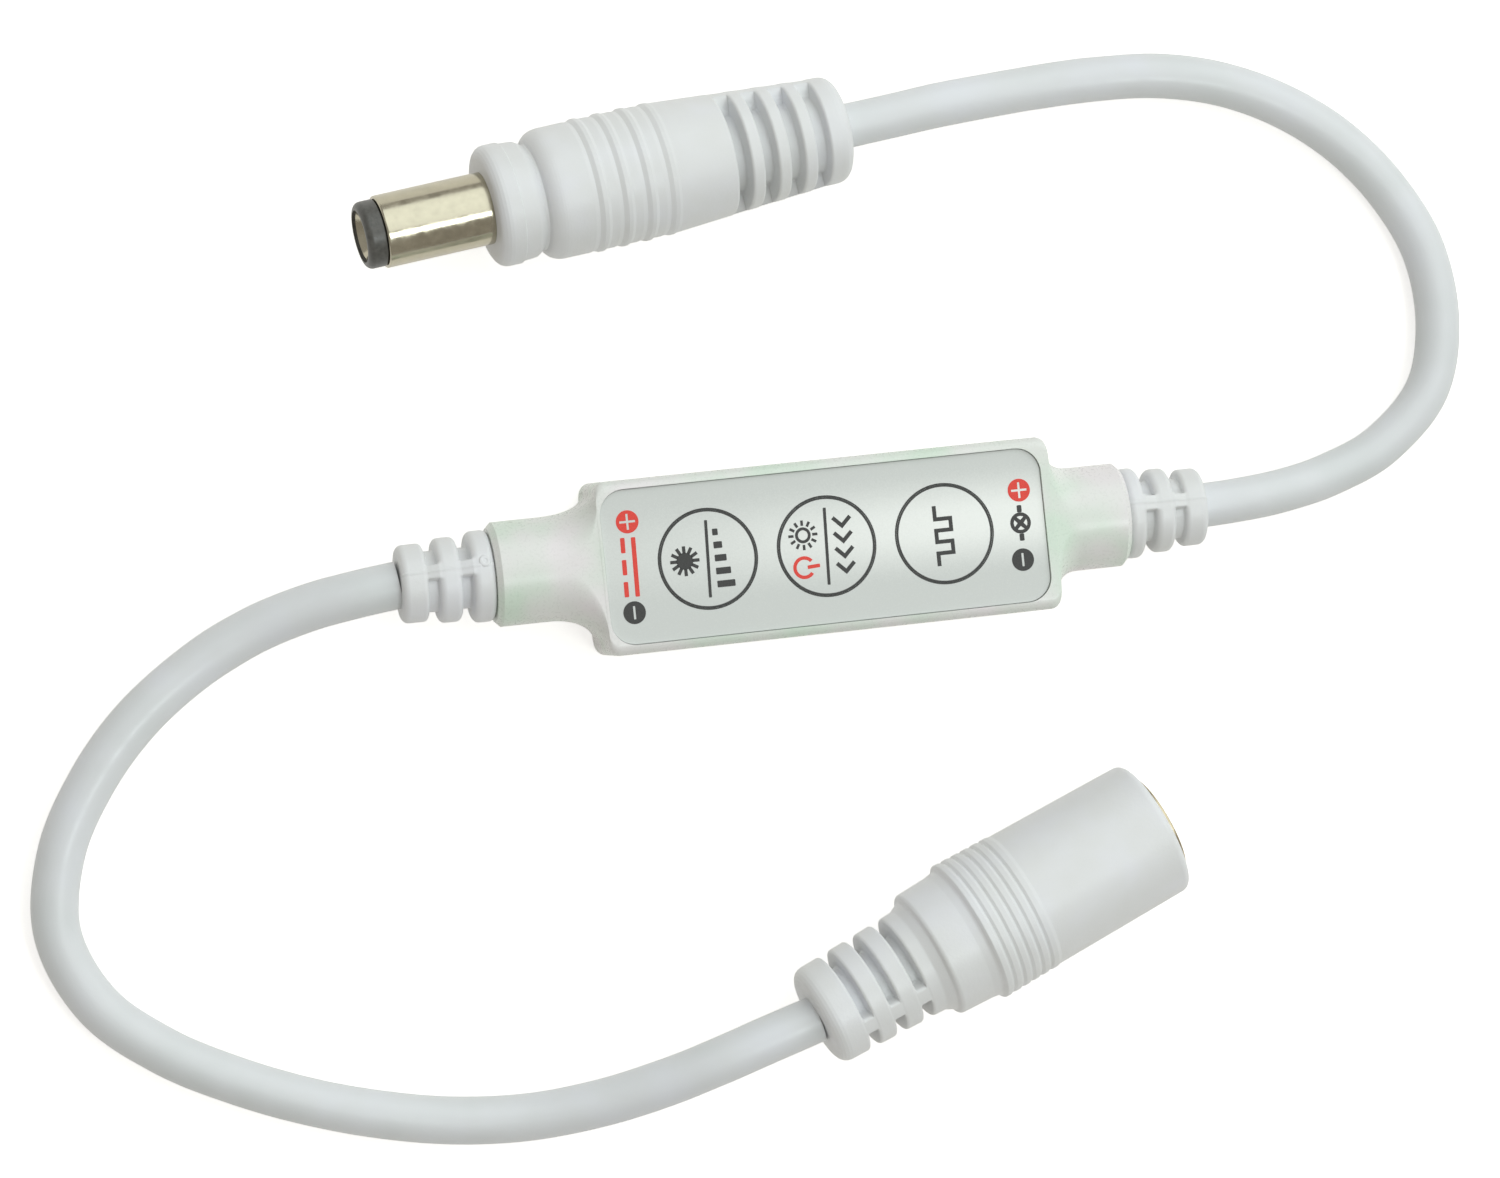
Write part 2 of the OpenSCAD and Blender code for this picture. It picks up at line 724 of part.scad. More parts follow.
// Slotted strain relief: rings that get smaller towards the cord, a core and two webs,
// with a stem and a flange that the end wall of the neck holds
module strain_relief(l, turn) {
    ring_t = (l - (relief_rings - 1) * relief_slot_w) / relief_rings;
    step = (relief_d - relief_end_d) / (relief_rings - 1);
    for (k = [0:relief_rings - 1]) let (r = (relief_d - k * step) / 2, z = k * (ring_t + relief_slot_w))
        rotate_extrude() polygon(concat([[0, z]],
            arc([r - relief_edge_r, z + relief_edge_r], relief_edge_r, -90, 0),
            arc([r - relief_edge_r, z + ring_t - relief_edge_r], relief_edge_r, 0, 90),
            [[0, z + ring_t]]));
    rod(relief_core_d, 0, l - ring_t / 2);
    webs(relief_web_w, ring_t / 2, l - ring_t / 2, relief_d - step, relief_end_d, turn);
    rod(relief_stem_d, -neck_end_t - seat_gap, ring_t / 2);
    rod(relief_flange_d, -flange_inner, -neck_end_t - seat_gap);
}

// Ring of a tube round point p, square to direction t
function tube_ring(p, t, d) = let (across = unit(cross([0, 0, 1], t)), up = cross(t, across))
    [for (k = [0:cord_sides - 1]) let (a = 360 * (k + 0.5) / cord_sides)
        p + d / 2 * (cos(a) * across + sin(a) * up)];

// Free stretch of cord along a route, square to the directions at both ends
module cord(route, d, first_dir, last_dir) {
    last = len(route) - 1;
    loft([for (i = [0:last])
        let (t = i == 0 ? first_dir : i == last ? last_dir : unit(route[i + 1] - route[i - 1]))
        tube_ring(route[i], t, d)]);
}

// Radius of the plug's grip, which tapers from its last ring to the cap
function plug_r(s) = plug_band_d / 2
    - (s - plug_taper_at) * (plug_band_d - plug_cap_d) / 2 / (plug_cap_at - plug_taper_at);

// Outline of the plug's grip from its front face to its cord end
function plug_outline() = concat(
    [[0, 0]],
    arc([plug_collar_d / 2 - plug_nose_r, plug_nose_r], plug_nose_r, -90, 0),
    [[plug_collar_d / 2, plug_collar_flat],
    [plug_ridge_d / 2, plug_ridge_at],
    [plug_collar_rear_d / 2, plug_collar_l],
    [plug_groove_d / 2, (plug_collar_l + plug_groove_end) / 2]],
    [for (k = [0:arc_steps]) let (a = 90 * k / arc_steps)
        [plug_groove_d / 2 + (plug_band_d - plug_groove_d) / 2 * sin(a),
        plug_groove_end + (plug_band_at - plug_groove_end) * (1 - cos(a))]],
    [[plug_band_d / 2, plug_band_end],
    [plug_band_d / 2 - plug_ring_rise, plug_band_end + plug_step]],
    [for (k = [0:plug_rings - 2]) let (s = plug_ring_at + k * plug_ring_pitch) each
        [[plug_band_d / 2 - plug_ring_rise, s - plug_ring_w / 2],
        [plug_band_d / 2, s - plug_ring_w / 4],
        [plug_band_d / 2, s + plug_ring_w / 4],
        [plug_band_d / 2 - plug_ring_rise, s + plug_ring_w / 2]]],
    [[plug_band_d / 2 - plug_ring_rise, plug_taper_at - plug_ring_w / 2],
    [plug_band_d / 2, plug_taper_at - plug_ring_w / 4],
    [plug_band_d / 2, plug_taper_at]],
    [for (k = [0:plug_slots - 1]) let (s = plug_slot_at + k * plug_slot_pitch) each
        [[plug_r(s), s],
        [plug_core_d / 2, s],
        [plug_core_d / 2, s + plug_slot_w],
        [plug_r(s + plug_slot_w), s + plug_slot_w]]],
    arc([plug_cap_d / 2 - plug_cap_r, plug_cap_at], plug_cap_r, 0, 90),
    [[0, plug_l]]);

module plug_body() {
    color("white") at_plug() difference() {
        union() {
            rotate_extrude() polygon(plug_outline());
            webs(plug_web_w, plug_slot_at - plug_step, plug_l - plug_cap_l + plug_step,
                2 * plug_r(plug_slot_at), 2 * plug_r(plug_l - plug_cap_l), 90 + plug_web_turn);
        }
        rod(barrel_root_d + 2 * seat_gap, -overrun, barrel_seat_l);
        rod(barrel_flange_d + 2 * seat_gap, barrel_seat_l - barrel_flange_t - seat_gap,
            barrel_seat_l + insulator_back_l + seat_gap);
        rod(contact_d + 2 * seat_gap, barrel_seat_l, contact_back + seat_gap);
        rod(contact_tail_d + 2 * seat_gap, barrel_seat_l, contact_back + contact_tail_l + seat_gap);
    }
}

module plug_barrel() {
    color("silver") at_plug() {
        tube(barrel_d, barrel_bore_d, -barrel_l, 0);
        tube(barrel_root_d, barrel_bore_d, 0, barrel_seat_l - seat_gap);
        tube(barrel_flange_d, barrel_bore_d, barrel_seat_l - barrel_flange_t, barrel_seat_l - seat_gap);
    }
}

// Black insulator: the ring at the tip, the sleeve inside the barrel and a flange behind it
module plug_insulator() {
    sleeve_r = barrel_bore_d / 2 - seat_gap;
    hole_r = contact_d / 2 + seat_gap;
    back = barrel_seat_l + insulator_back_l;
    color("black") at_plug() rotate_extrude() polygon(concat(
        [[funnel_hole_r, tip_front]],
        arc([tip_ring_d / 2 - tip_edge_r, tip_front + tip_edge_r], tip_edge_r, -90, 0),
        [[tip_ring_d / 2, -barrel_l - seat_gap],
        [sleeve_r, -barrel_l - seat_gap],
        [sleeve_r, barrel_seat_l],
        [barrel_flange_d / 2, barrel_seat_l],
        [barrel_flange_d / 2, back],
        [hole_r, back],
        [hole_r, funnel_back],
        [funnel_hole_r, funnel_front]]));
}

// Inner contact: a tube with a funnel at its mouth, a closed back and a solder tail
module plug_inner_contact() {
    bore_r = contact_bore_d / 2;
    color("silver") at_plug() rotate_extrude() polygon([
        [funnel_bore_d / 2, funnel_front],
        [funnel_bore_d / 2 + funnel_wall, funnel_front],
        [contact_d / 2, funnel_back],
        [contact_d / 2, contact_back],
        [contact_tail_d / 2, contact_back],
        [contact_tail_d / 2, contact_back + contact_tail_l],
        [0, contact_back + contact_tail_l],
        [0, contact_back - contact_back_t],
        [bore_r, contact_back - contact_back_t],
        [bore_r, funnel_back]]);
}

// Radius of the socket's cord end, which widens towards the waist
function socket_r(s) = socket_cap_d / 2
    + (s - socket_cap_r) * (socket_waist_d - socket_cap_d) / 2 / (socket_waist_at - socket_cap_r);

// Outline of the socket's body from its cord end to its mouth
function socket_outline() = concat(
    [[0, 0]],
    arc([socket_cap_d / 2 - socket_cap_r, socket_cap_r], socket_cap_r, -90, 0),
    [for (k = [0:socket_slots - 1]) let (s = socket_slot_at + k * socket_slot_pitch) each
        [[socket_r(s), s],
        [socket_core_d / 2, s],
        [socket_core_d / 2, s + socket_slot_w],
        [socket_r(s + socket_slot_w), s + socket_slot_w]]],
    [for (k = [0:arc_steps]) let (a = 90 * k / arc_steps)
        [socket_waist_d / 2 + (socket_middle_d - socket_waist_d) / 2 * (1 - cos(a)) / 2,
        socket_waist_at + (socket_shoulder_at - socket_waist_at) * sin(a)]],
    arc([socket_middle_d / 2 - socket_shoulder_r, socket_shoulder_at + socket_shoulder_r],
        socket_shoulder_r, -60, 0),
    [[socket_middle_end_d / 2, socket_middle_end]],
    [for (k = [0:socket_ribs - 1]) let (s = socket_rib_at + k * socket_rib_pitch) each
        [[socket_rib_d / 2 - socket_rib_depth, s - socket_rib_pitch / 2],
        [socket_rib_d / 2, s - socket_rib_pitch / 4],
        [socket_rib_d / 2, s + socket_rib_pitch / 4]]],
    [[socket_front_start_d / 2, socket_front_at]],
    arc([socket_front_d / 2 - socket_mouth_r, socket_l - socket_mouth_r], socket_mouth_r, 0, 90),
    [[0, socket_l]]);

module socket_body() {
    color("white") at_socket() difference() {
        union() {
            rotate_extrude() polygon(socket_outline());
            webs(socket_web_w, socket_slot_at - web_sink,
                socket_slot_at + (socket_slots - 1) * socket_slot_pitch + socket_slot_w + web_sink,
                2 * socket_r(socket_slot_at), 2 * socket_r(socket_waist_at), socket_web_turn);
        }
        rod(shell_d + 2 * seat_gap, insert_back, socket_l + overrun);
        rod(pin_shoulder_d + 2 * seat_gap, insert_back - pin_shoulder_t - seat_gap, socket_l);
    }
}

module socket_shell() {
    color("silver") at_socket() tube(shell_d, shell_bore_d, insert_back, socket_l + shell_reach);
}

// Insert of the socket: its floor carries the centre pin, and its wall guides the barrel
module socket_insulator() {
    floor_h = insert_back + insert_floor_t;
    color("black") at_socket() difference() {
        rod(insert_d, insert_back, socket_l - insert_inset);
        rod(mouth_d, floor_h, socket_l + overrun);
        rod(pin_root_d + 2 * seat_gap, insert_back - overrun, floor_h + overrun);
        translate([-leaf_w / 2 - leaf_window_gap, 0, floor_h + leaf_start])
            cube([leaf_w + 2 * leaf_window_gap, insert_d, leaf_l + leaf_window_gap]);
    }
}

module socket_centre_pin() {
    color("silver") at_socket() {
        rod(pin_shoulder_d, insert_back - pin_shoulder_t, insert_back - seat_gap);
        rod(pin_root_d, insert_back - pin_shoulder_t, insert_back + insert_floor_t);
        rod(pin_d, insert_back, socket_l - pin_inset - pin_d / 2);
        translate([0, 0, socket_l - pin_inset - pin_d / 2]) intersection() {
            sphere(d = pin_d);
            cylinder(d = pin_d + overrun, h = pin_d);
        }
    }
}

// Leaf that presses on the barrel, in a window of the insert's wall
module socket_spring_contact() {
    color("silver") at_socket()
        translate([-leaf_w / 2, mouth_d / 2 + seat_gap, insert_back + insert_floor_t + leaf_start])
            cube([leaf_w, leaf_t, leaf_l]);
}

lower_case();
upper_case();
keypad_label();
key_disc(0);  // dim_key_disc
key_disc(1);  // speed_key_disc
key_disc(2);  // mode_key_disc
switch_base(0);  // dim_switch_base
switch_base(1);  // speed_switch_base
switch_base(2);  // mode_switch_base
switch_cover(0);  // dim_switch_cover
switch_cover(1);  // speed_switch_cover
switch_cover(2);  // mode_switch_cover
switch_dome(0);  // dim_switch_dome
switch_dome(1);  // speed_switch_dome
switch_dome(2);  // mode_switch_dome
switch_plunger(0);  // dim_switch_plunger
switch_plunger(1);  // speed_switch_plunger
switch_plunger(2);  // mode_switch_plunger
circuit_board();
controller_chip();
power_transistors();
voltage_regulator();
capacitors();
resistors();
component_leads();
solder_joints();
color("red") supply_core(core_pitch / 2);  // supply_core_positive
color("black") supply_core(-core_pitch / 2);  // supply_core_negative
color("red") output_core(core_pitch / 2);  // output_core_positive
color("black") output_core(-core_pitch / 2);  // output_core_negative
color("white") along_case(supply_neck_x, supply_neck_offset, -1)  // supply_strain_relief
        strain_relief(supply_relief_l, supply_web_turn);
color("white") along_case(output_neck_x, 0, 1) strain_relief(output_relief_l, -output_web_turn);  // output_strain_relief
color("white") cord(socket_cord_route, socket_cord_d, [-1, 0, 0], axis_dir(socket_yaw, socket_tilt));  // socket_cord
color("white") cord(plug_cord_route, plug_cord_d, axis_dir(plug_yaw, plug_tilt), [-1, 0, 0]);  // plug_cord
plug_body();
plug_barrel();
plug_insulator();
plug_inner_contact();
socket_body();
socket_shell();
socket_insulator();
socket_centre_pin();
socket_spring_contact();
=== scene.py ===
import math

import bmesh
import bpy
from mathutils import Matrix, Vector


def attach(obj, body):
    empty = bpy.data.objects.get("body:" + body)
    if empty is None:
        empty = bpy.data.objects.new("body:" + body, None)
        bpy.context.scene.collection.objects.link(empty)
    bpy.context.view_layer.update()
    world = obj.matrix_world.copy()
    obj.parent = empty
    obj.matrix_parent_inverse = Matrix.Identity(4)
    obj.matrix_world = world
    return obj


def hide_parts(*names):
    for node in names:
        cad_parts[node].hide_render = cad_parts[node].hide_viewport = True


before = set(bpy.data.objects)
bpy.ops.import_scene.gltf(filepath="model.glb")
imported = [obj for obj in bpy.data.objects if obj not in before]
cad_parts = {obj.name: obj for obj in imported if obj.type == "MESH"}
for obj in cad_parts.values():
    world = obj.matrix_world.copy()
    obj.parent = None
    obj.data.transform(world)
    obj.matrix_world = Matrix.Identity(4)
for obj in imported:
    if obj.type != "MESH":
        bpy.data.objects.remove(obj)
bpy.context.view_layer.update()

# Lengths below are in millimetres, as in the part's source, and MM turns them into metres
MM = 0.001

# The case, parted at half height, with a neck at either end
CASE_X, CASE_L, CASE_W, CASE_H = 1.25, 34.9, 13.1, 8.0
AXIS_H = CASE_H / 2
CORNER_R, EDGE_R, WALL = 0.8, 0.9, 1.0
NECK_R, NECK_CHAMFER, NECK_END_T = 3.95, 0.4, 1.5
SUPPLY_NECK_L, SUPPLY_FLARE_L, SUPPLY_NECK_Y = 7.9, 3.8, 0.45
OUTPUT_NECK_L, OUTPUT_FLARE_L, OUTPUT_NECK_Y = 6.1, 2.2, 0.0
SUPPLY_NECK_X = CASE_X - CASE_L / 2 - SUPPLY_NECK_L
OUTPUT_NECK_X = CASE_X + CASE_L / 2 + OUTPUT_NECK_L
LEAST_FLAT = 0.02

# Inside the case: the room for the board, its pillars and the lip that joins the halves
FACE_H = 7.5
CEILING_H = 6.3
CAVITY_L, CAVITY_W, CAVITY_R = CASE_L - 2 * WALL, CASE_W - 2 * WALL, 0.6
LIP_T, LIP_H, LIP_GAP = 0.45, 0.8, 0.1
BOARD_LEVEL, BOARD_TOP = 2.8, 3.6
PILLAR_D, PILLAR_X, PILLAR_Y, PILLAR_SINK = 1.6, 14.85, 4.35, 0.6
PIN_D, PIN_PROUD = 0.8, 0.3
POCKET_D, PASSAGE_D = 6.2, 5.0
OVERRUN = 1.0

# The overlay and the three keys
FACE_X = 1.0
OVERLAY_L, OVERLAY_W, OVERLAY_R, OVERLAY_GAP = 33.8, 11.5, 1.8, 0.1
OVERLAY_SPREAD = 0.06
FILM_TOP = FACE_H + 0.25
INK_T = 0.012
KEY_NAMES = ("dim", "speed", "mode")
KEY_PITCH = 9.126
KEY_X = [FACE_X + KEY_PITCH * k for k in (-1, 0, 1)]
KEY_R, KEY_HOLE_R = 3.70, 3.725
RING_INSIDE, RING_OUTSIDE, INK_INSET = 0.15, 0.1, 0.005
STEM_HOLE_D, COUNTERBORE_D, COUNTERBORE_DEPTH = 3.4, 7.65, 0.6

# Routes of the two leads, from the case to the connector, as in the part's source
PLUG_ROUTE = [
    (31.1, 0, 4), (34.4, 0.15, 3.8), (38.1, 0.5, 3.1), (42.2, 1.35, 2.3), (46.7, 3.2, 1.9),
    (50.75, 7, 1.8), (52.2, 12.2, 1.8), (51.65, 17.8, 1.8), (49.3, 22.65, 1.8), (45.9, 26.75, 1.8),
    (41.7, 29.9, 1.8), (36.9, 32.1, 1.8), (31.9, 33.2, 1.8), (26.8, 33.4, 1.8), (22.2, 33.2, 2),
    (18, 32.85, 2.5), (14, 32.45, 3.2), (10.3, 31.95, 3.7), (6, 31.4, 4.022),
]
SOCKET_ROUTE = [
    (-31.1, 0.45, 4), (-34.4, 0.05, 3.8), (-38.1, -0.6, 3.1), (-42.3, -1.9, 2.3), (-46.8, -4.15, 1.9),
    (-51.4, -7.5, 1.9), (-55.15, -11.7, 1.9), (-58, -16.8, 1.9), (-58.9, -22.75, 1.9),
    (-56.5, -28.35, 1.9), (-52, -32.3, 1.9), (-46.95, -35.1, 1.9), (-41.75, -37.3, 1.9),
    (-36.45, -38.95, 1.9), (-30.9, -40.1, 1.9), (-25.2, -40.5, 2.3), (-19.7, -40, 3.4),
    (-14.9, -38.95, 4.7), (-10.9, -37.75, 5.75), (-7.1, -36.55, 6.15), (-3.2, -35.4, 6.186),
]
PLUG_CORD_D = 3.4
SOCKET_CORD_D = 3.6

# The mouldings and the metal on the leads
SUPPLY_RELIEF_L = 7.0
OUTPUT_RELIEF_L = 6.3
RELIEF_FLANGE_R, RELIEF_STEM_R = 3.0, 2.4
RELIEF_R, RELIEF_STEP, RELIEF_CORE_R = 3.45, 0.25, 2.3
PLUG_L = 28.2
PLUG_YAW, PLUG_TILT = 7.4, 4.095
BARREL_L, BARREL_R, BORE_R = 8.3, 2.75, 1.05
PLUG_GRIP_R = 5.0
PLUG_COLLAR_R = 4.625
PLUG_TAPER_AT, PLUG_TAPER_END, PLUG_CAP_R = 13.63, 26.9, 4.075
PLUG_RINGS = [8.05 + 1.86 * k for k in range(3)]
SOCKET_L = 30.1
SOCKET_YAW, SOCKET_TILT = 22.4, 1.481
SOCKET_END_R, SOCKET_MOUTH_R, SOCKET_SHELL_R = 3.95, 4.05, 3.65
SOCKET_RIBS, SOCKET_RIB_AT, SOCKET_RIB_PITCH = 6, 13.75, 0.83

scene = bpy.context.scene


# The camera

def add_camera():
    """The photograph's view: from above, a little from the supply end of the case."""
    camera = bpy.data.objects.new("photo_camera", bpy.data.cameras.new("photo_camera"))
    camera.data.lens = 150
    camera.data.sensor_width = 36
    camera.data.clip_start = 0.05
    camera.data.clip_end = 10
    right = Vector((0.976379, -0.102881, 0.19))
    up = Vector((0.104862, 0.994487, -0.000374))
    back = Vector((-0.188914, 0.020289, 0.981784))
    axes = Matrix((right, up, back)).transposed().to_4x4()
    camera.matrix_world = Matrix.Translation((-0.0937406, 0.0069255, 0.4680208)) @ axes
    scene.collection.objects.link(camera)
    scene.camera = camera


add_camera()


# Node trees

class Graph:
    """Adds nodes to a tree. A value is a number, a colour or another node's output."""

    def __init__(self, tree):
        self.tree = tree

    def put(self, socket, value):
        if isinstance(value, bpy.types.NodeSocket):
            self.tree.links.new(value, socket)
        else:
            socket.default_value = value

    def node(self, kind, values=None, **settings):
        made = self.tree.nodes.new(kind)
        for key, value in settings.items():
            setattr(made, key, value)
        for key, value in (values or {}).items():
            self.put(made.inputs[key], value)
        return made

    def math(self, operation, *values, clamp=False):
        made = self.node("ShaderNodeMath", operation=operation, use_clamp=clamp)
        for socket, value in zip(made.inputs, values):
            self.put(socket, value)
        return made.outputs[0]

    def plus(self, a, b, clamp=False):
        return self.math("ADD", a, b, clamp=clamp)

    def minus(self, a, b):
        return self.math("SUBTRACT", a, b)

    def times(self, a, b):
        return self.math("MULTIPLY", a, b)

    def smooth_step(self, value, low, high, to_low=0.0, to_high=1.0):
        made = self.node(
            "ShaderNodeMapRange",
            {"Value": value, "From Min": low, "From Max": high, "To Min": to_low, "To Max": to_high},
            interpolation_type="SMOOTHSTEP")
        return made.outputs["Result"]


def new_tree(name, inputs):
    """A geometry tree with named inputs, and the outputs that carry them."""
    tree = bpy.data.node_groups.new(name, "GeometryNodeTree")
    for label, kind in inputs:
        tree.interface.new_socket(label, in_out="INPUT", socket_type="NodeSocket" + kind)
    tree.interface.new_socket("Geometry", in_out="OUTPUT", socket_type="NodeSocketGeometry")
    graph = Graph(tree)
    return graph, graph.node("NodeGroupInput").outputs


def end_tree(graph, geometry, material):
    """Ends a tree in real geometry with smooth faces and its material."""
    real = graph.node("GeometryNodeRealizeInstances", {"Geometry": geometry})
    smooth = graph.node("GeometryNodeSetShadeSmooth", {"Geometry": real.outputs[0]})
    painted = graph.node("GeometryNodeSetMaterial", {"Geometry": smooth.outputs[0], "Material": material})
    graph.node("NodeGroupOutput", {"Geometry": painted.outputs[0]})
    return graph.tree


def add_object(name, data):
    made = bpy.data.objects.new(name, data)
    scene.collection.objects.link(made)
    return made


def close_up(bm, mesh):
    """Merges what coincides, turns every face outwards and keeps the result in the mesh."""
    bmesh.ops.remove_doubles(bm, verts=bm.verts, dist=0.0002 * MM)
    bmesh.ops.recalc_face_normals(bm, faces=bm.faces)
    bm.to_mesh(mesh)
    bm.free()
    return mesh


def outward(mesh):
    bm = bmesh.new()
    bm.from_mesh(mesh)
    close_up(bm, mesh)


def evaluated(holder, **settings):
    """The mesh that an object gives after its modifiers."""
    graph = bpy.context.evaluated_depsgraph_get()
    return bpy.data.meshes.new_from_object(holder.evaluated_get(graph), depsgraph=graph, **settings)


def grow(name, source, tree, values, place=Matrix.Identity(4)):
    """Runs a tree on a mesh or curve and keeps the result as a plain mesh, set in its place."""
    holder = add_object(name + "_source", source)
    modifier = holder.modifiers.new("tree", "NODES")
    modifier.node_group = tree
    for item in tree.interface.items_tree:
        if item.name in values:
            modifier[item.identifier] = values[item.name]
    mesh = evaluated(holder, preserve_all_data_layers=True)
    bpy.data.objects.remove(holder)
    mesh.name = name
    outward(mesh)
    mesh.transform(place)
    return add_object(name, mesh)


# Materials

def new_material(name, **values):
    """A principled material, and the graph to build on."""
    material = bpy.data.materials.new(name)
    material.use_nodes = True
    graph = Graph(material.node_tree)
    shader = material.node_tree.nodes["Principled BSDF"]
    for key, value in values.items():
        shader.inputs[key.replace("_", " ")].default_value = value
    return material, graph, shader


def colour(r, g, b):
    """A colour as the screen shows it, made linear."""
    return tuple(c / 12.92 if c <= 0.04045 else ((c + 0.055) / 1.055) ** 2.4 for c in (r, g, b)) + (1.0,)


def object_place(graph, scale=(1, 1, 1), turn=(0, 0, 0)):
    coords = graph.node("ShaderNodeTexCoord").outputs["Object"]
    mapped = graph.node("ShaderNodeMapping", {"Vector": coords, "Scale": scale, "Rotation": turn})
    return mapped.outputs["Vector"]


def noise(graph, vector, size, detail=3.0, roughness=0.55):
    """Noise whose lumps are about size millimetres across."""
    return graph.node(
        "ShaderNodeTexNoise",
        {"Vector": vector, "Scale": 1 / (size * MM), "Detail": detail, "Roughness": roughness}).outputs["Fac"]


def ramp(graph, factor, stops):
    """A colour ramp. Its first two stops take the ramp's own marks, so a middle stop comes last."""
    made = graph.node("ShaderNodeValToRGB", {"Fac": factor})
    marks = made.color_ramp.elements
    for index, (place, tint) in enumerate(stops):
        mark = marks[index] if index < 2 else marks.new(place)
        mark.position = place
        mark.color = tint
    return made.outputs["Color"]


def bump(graph, shader, height, distance):
    made = graph.node("ShaderNodeBump", {"Height": height, "Distance": distance * MM, "Strength": 1.0})
    graph.put(shader.inputs["Normal"], made.outputs["Normal"])


def gloss(graph, shader, pattern, roughness, duller):
    """Roughness that follows a pattern, from a little glossier than roughness to duller than it."""
    steps = graph.smooth_step(pattern, 0.3, 0.7, roughness - 0.05, roughness + duller)
    graph.put(shader.inputs["Roughness"], steps)


def white_vinyl(name, tints, roughness, grain, depth, smudge=5.0):
    """White moulded or extruded plastic: faint tints in broad patches and a fine grain."""
    material, graph, shader = new_material(name, IOR=1.5)
    place = object_place(graph)
    patches = noise(graph, place, smudge, 2.0)
    graph.put(shader.inputs["Base Color"], ramp(graph, patches, tints))
    fine = noise(graph, place, grain, 2.0, 0.6)
    gloss(graph, shader, fine, roughness, 0.07)
    bump(graph, shader, fine, depth)
    return material


MOULDED = white_vinyl(
    "moulded_white_vinyl",
    [(0.3, colour(0.88, 0.885, 0.885)), (0.7, colour(0.9, 0.905, 0.92)), (0.5, colour(0.89, 0.895, 0.9))],
    0.38, 0.22, 0.012)
CASE_WHITE = white_vinyl(
    "white_case_plastic",
    [(0.35, colour(0.84, 0.9, 0.845)), (0.65, colour(0.92, 0.905, 0.91)), (0.5, colour(0.89, 0.905, 0.885))],
    0.3, 0.22, 0.004, smudge=7.0)


def cord_vinyl():
    """Extruded jacket: faint draw lines along the cord and a slight waviness."""
    material, graph, shader = new_material("white_cord_vinyl", IOR=1.5)
    along = graph.node("ShaderNodeUVMap", uv_map="along").outputs["UV"]
    lines = graph.node("ShaderNodeMapping", {"Vector": along, "Scale": (26, 1.2, 1)}).outputs["Vector"]
    streaks = graph.node("ShaderNodeTexNoise", {"Vector": lines, "Scale": 1.0, "Detail": 2.0}).outputs["Fac"]
    place = object_place(graph)
    patches = noise(graph, place, 7.0, 2.0)
    graph.put(shader.inputs["Base Color"], ramp(graph, patches, [
        (0.3, colour(0.85, 0.865, 0.87)), (0.7, colour(0.88, 0.89, 0.91)), (0.5, colour(0.87, 0.88, 0.89))]))
    graph.put(shader.inputs["Roughness"], graph.smooth_step(streaks, 0.3, 0.7, 0.3, 0.42))
    fine = noise(graph, place, 0.3, 2.0)
    height = graph.plus(graph.times(streaks, 0.7), graph.times(fine, 0.3))
    bump(graph, shader, height, 0.012)
    return material


CORD_WHITE = cord_vinyl()


def nickel(name, tint, roughness, turn):
    """Warm nickel plate with fine marks round its axis."""
    material, graph, shader = new_material(name, Metallic=1.0)
    place = object_place(graph, scale=(1, 0.06, 0.06), turn=turn)
    rings = noise(graph, place, 0.09, 2.0)
    blotches = noise(graph, object_place(graph), 0.9, 3.0)
    graph.put(shader.inputs["Base Color"], ramp(graph, blotches, [
        (0.3, colour(*(c * 0.93 for c in tint))), (0.7, colour(*tint))]))
    gloss(graph, shader, blotches, roughness, 0.09)
    height = graph.plus(graph.times(rings, 0.4), graph.times(blotches, 0.6))
    bump(graph, shader, height, 0.006)
    return material


PLUG_NICKEL = nickel(
    "plug_nickel", (0.76, 0.735, 0.655), 0.17, (0, math.radians(-PLUG_TILT), math.radians(-PLUG_YAW)))
SOCKET_NICKEL = nickel(
    "socket_nickel", (0.78, 0.73, 0.62), 0.26, (0, math.radians(-SOCKET_TILT), math.radians(-SOCKET_YAW)))


def grained(name, low, high, roughness, size, depth, **values):
    """A plain finish with a fine grain in its colour, gloss and surface."""
    material, graph, shader = new_material(name, **values)
    fine = noise(graph, object_place(graph), size, 3.0)
    graph.put(shader.inputs["Base Color"], ramp(graph, fine, [(0.3, colour(*low)), (0.7, colour(*high))]))
    gloss(graph, shader, fine, roughness, 0.05)
    bump(graph, shader, fine, depth)
    return material


def highlighted_film():
    """Printed film with a fine silver grain, and a painted highlight: a paler band along it, brighter towards
    its +X end, that stands in for a broad reflection.
    """
    material, graph, shader = new_material("silver_grey_film_painted_highlight")
    spot = graph.node("ShaderNodeSeparateXYZ", {"Vector": object_place(graph)}).outputs
    # Painted highlight: a pale band centred 0.8 mm towards +Y, fading out by 4.4 mm, and stronger towards +X
    off = graph.math("ABSOLUTE", graph.minus(spot["Y"], 0.8 * MM))
    highlight_band = graph.smooth_step(off, 0.3 * MM, 4.4 * MM, 1.0, 0.0)
    along = graph.smooth_step(spot["X"], -17 * MM, 13 * MM, 0.25, 1.0)
    place = object_place(graph)
    fine = noise(graph, place, 0.12, 3.0)
    grain = graph.times(graph.minus(fine, 0.5), 0.45)
    pale = graph.plus(graph.times(highlight_band, along), grain, clamp=True)
    graph.put(shader.inputs["Base Color"], ramp(graph, pale, [
        (0.0, colour(0.815, 0.83, 0.82)), (1.0, colour(0.96, 0.972, 0.96))]))
    graph.put(shader.inputs["Roughness"], graph.smooth_step(fine, 0.3, 0.7, 0.34, 0.44))
    bump(graph, shader, fine, 0.003)
    return material


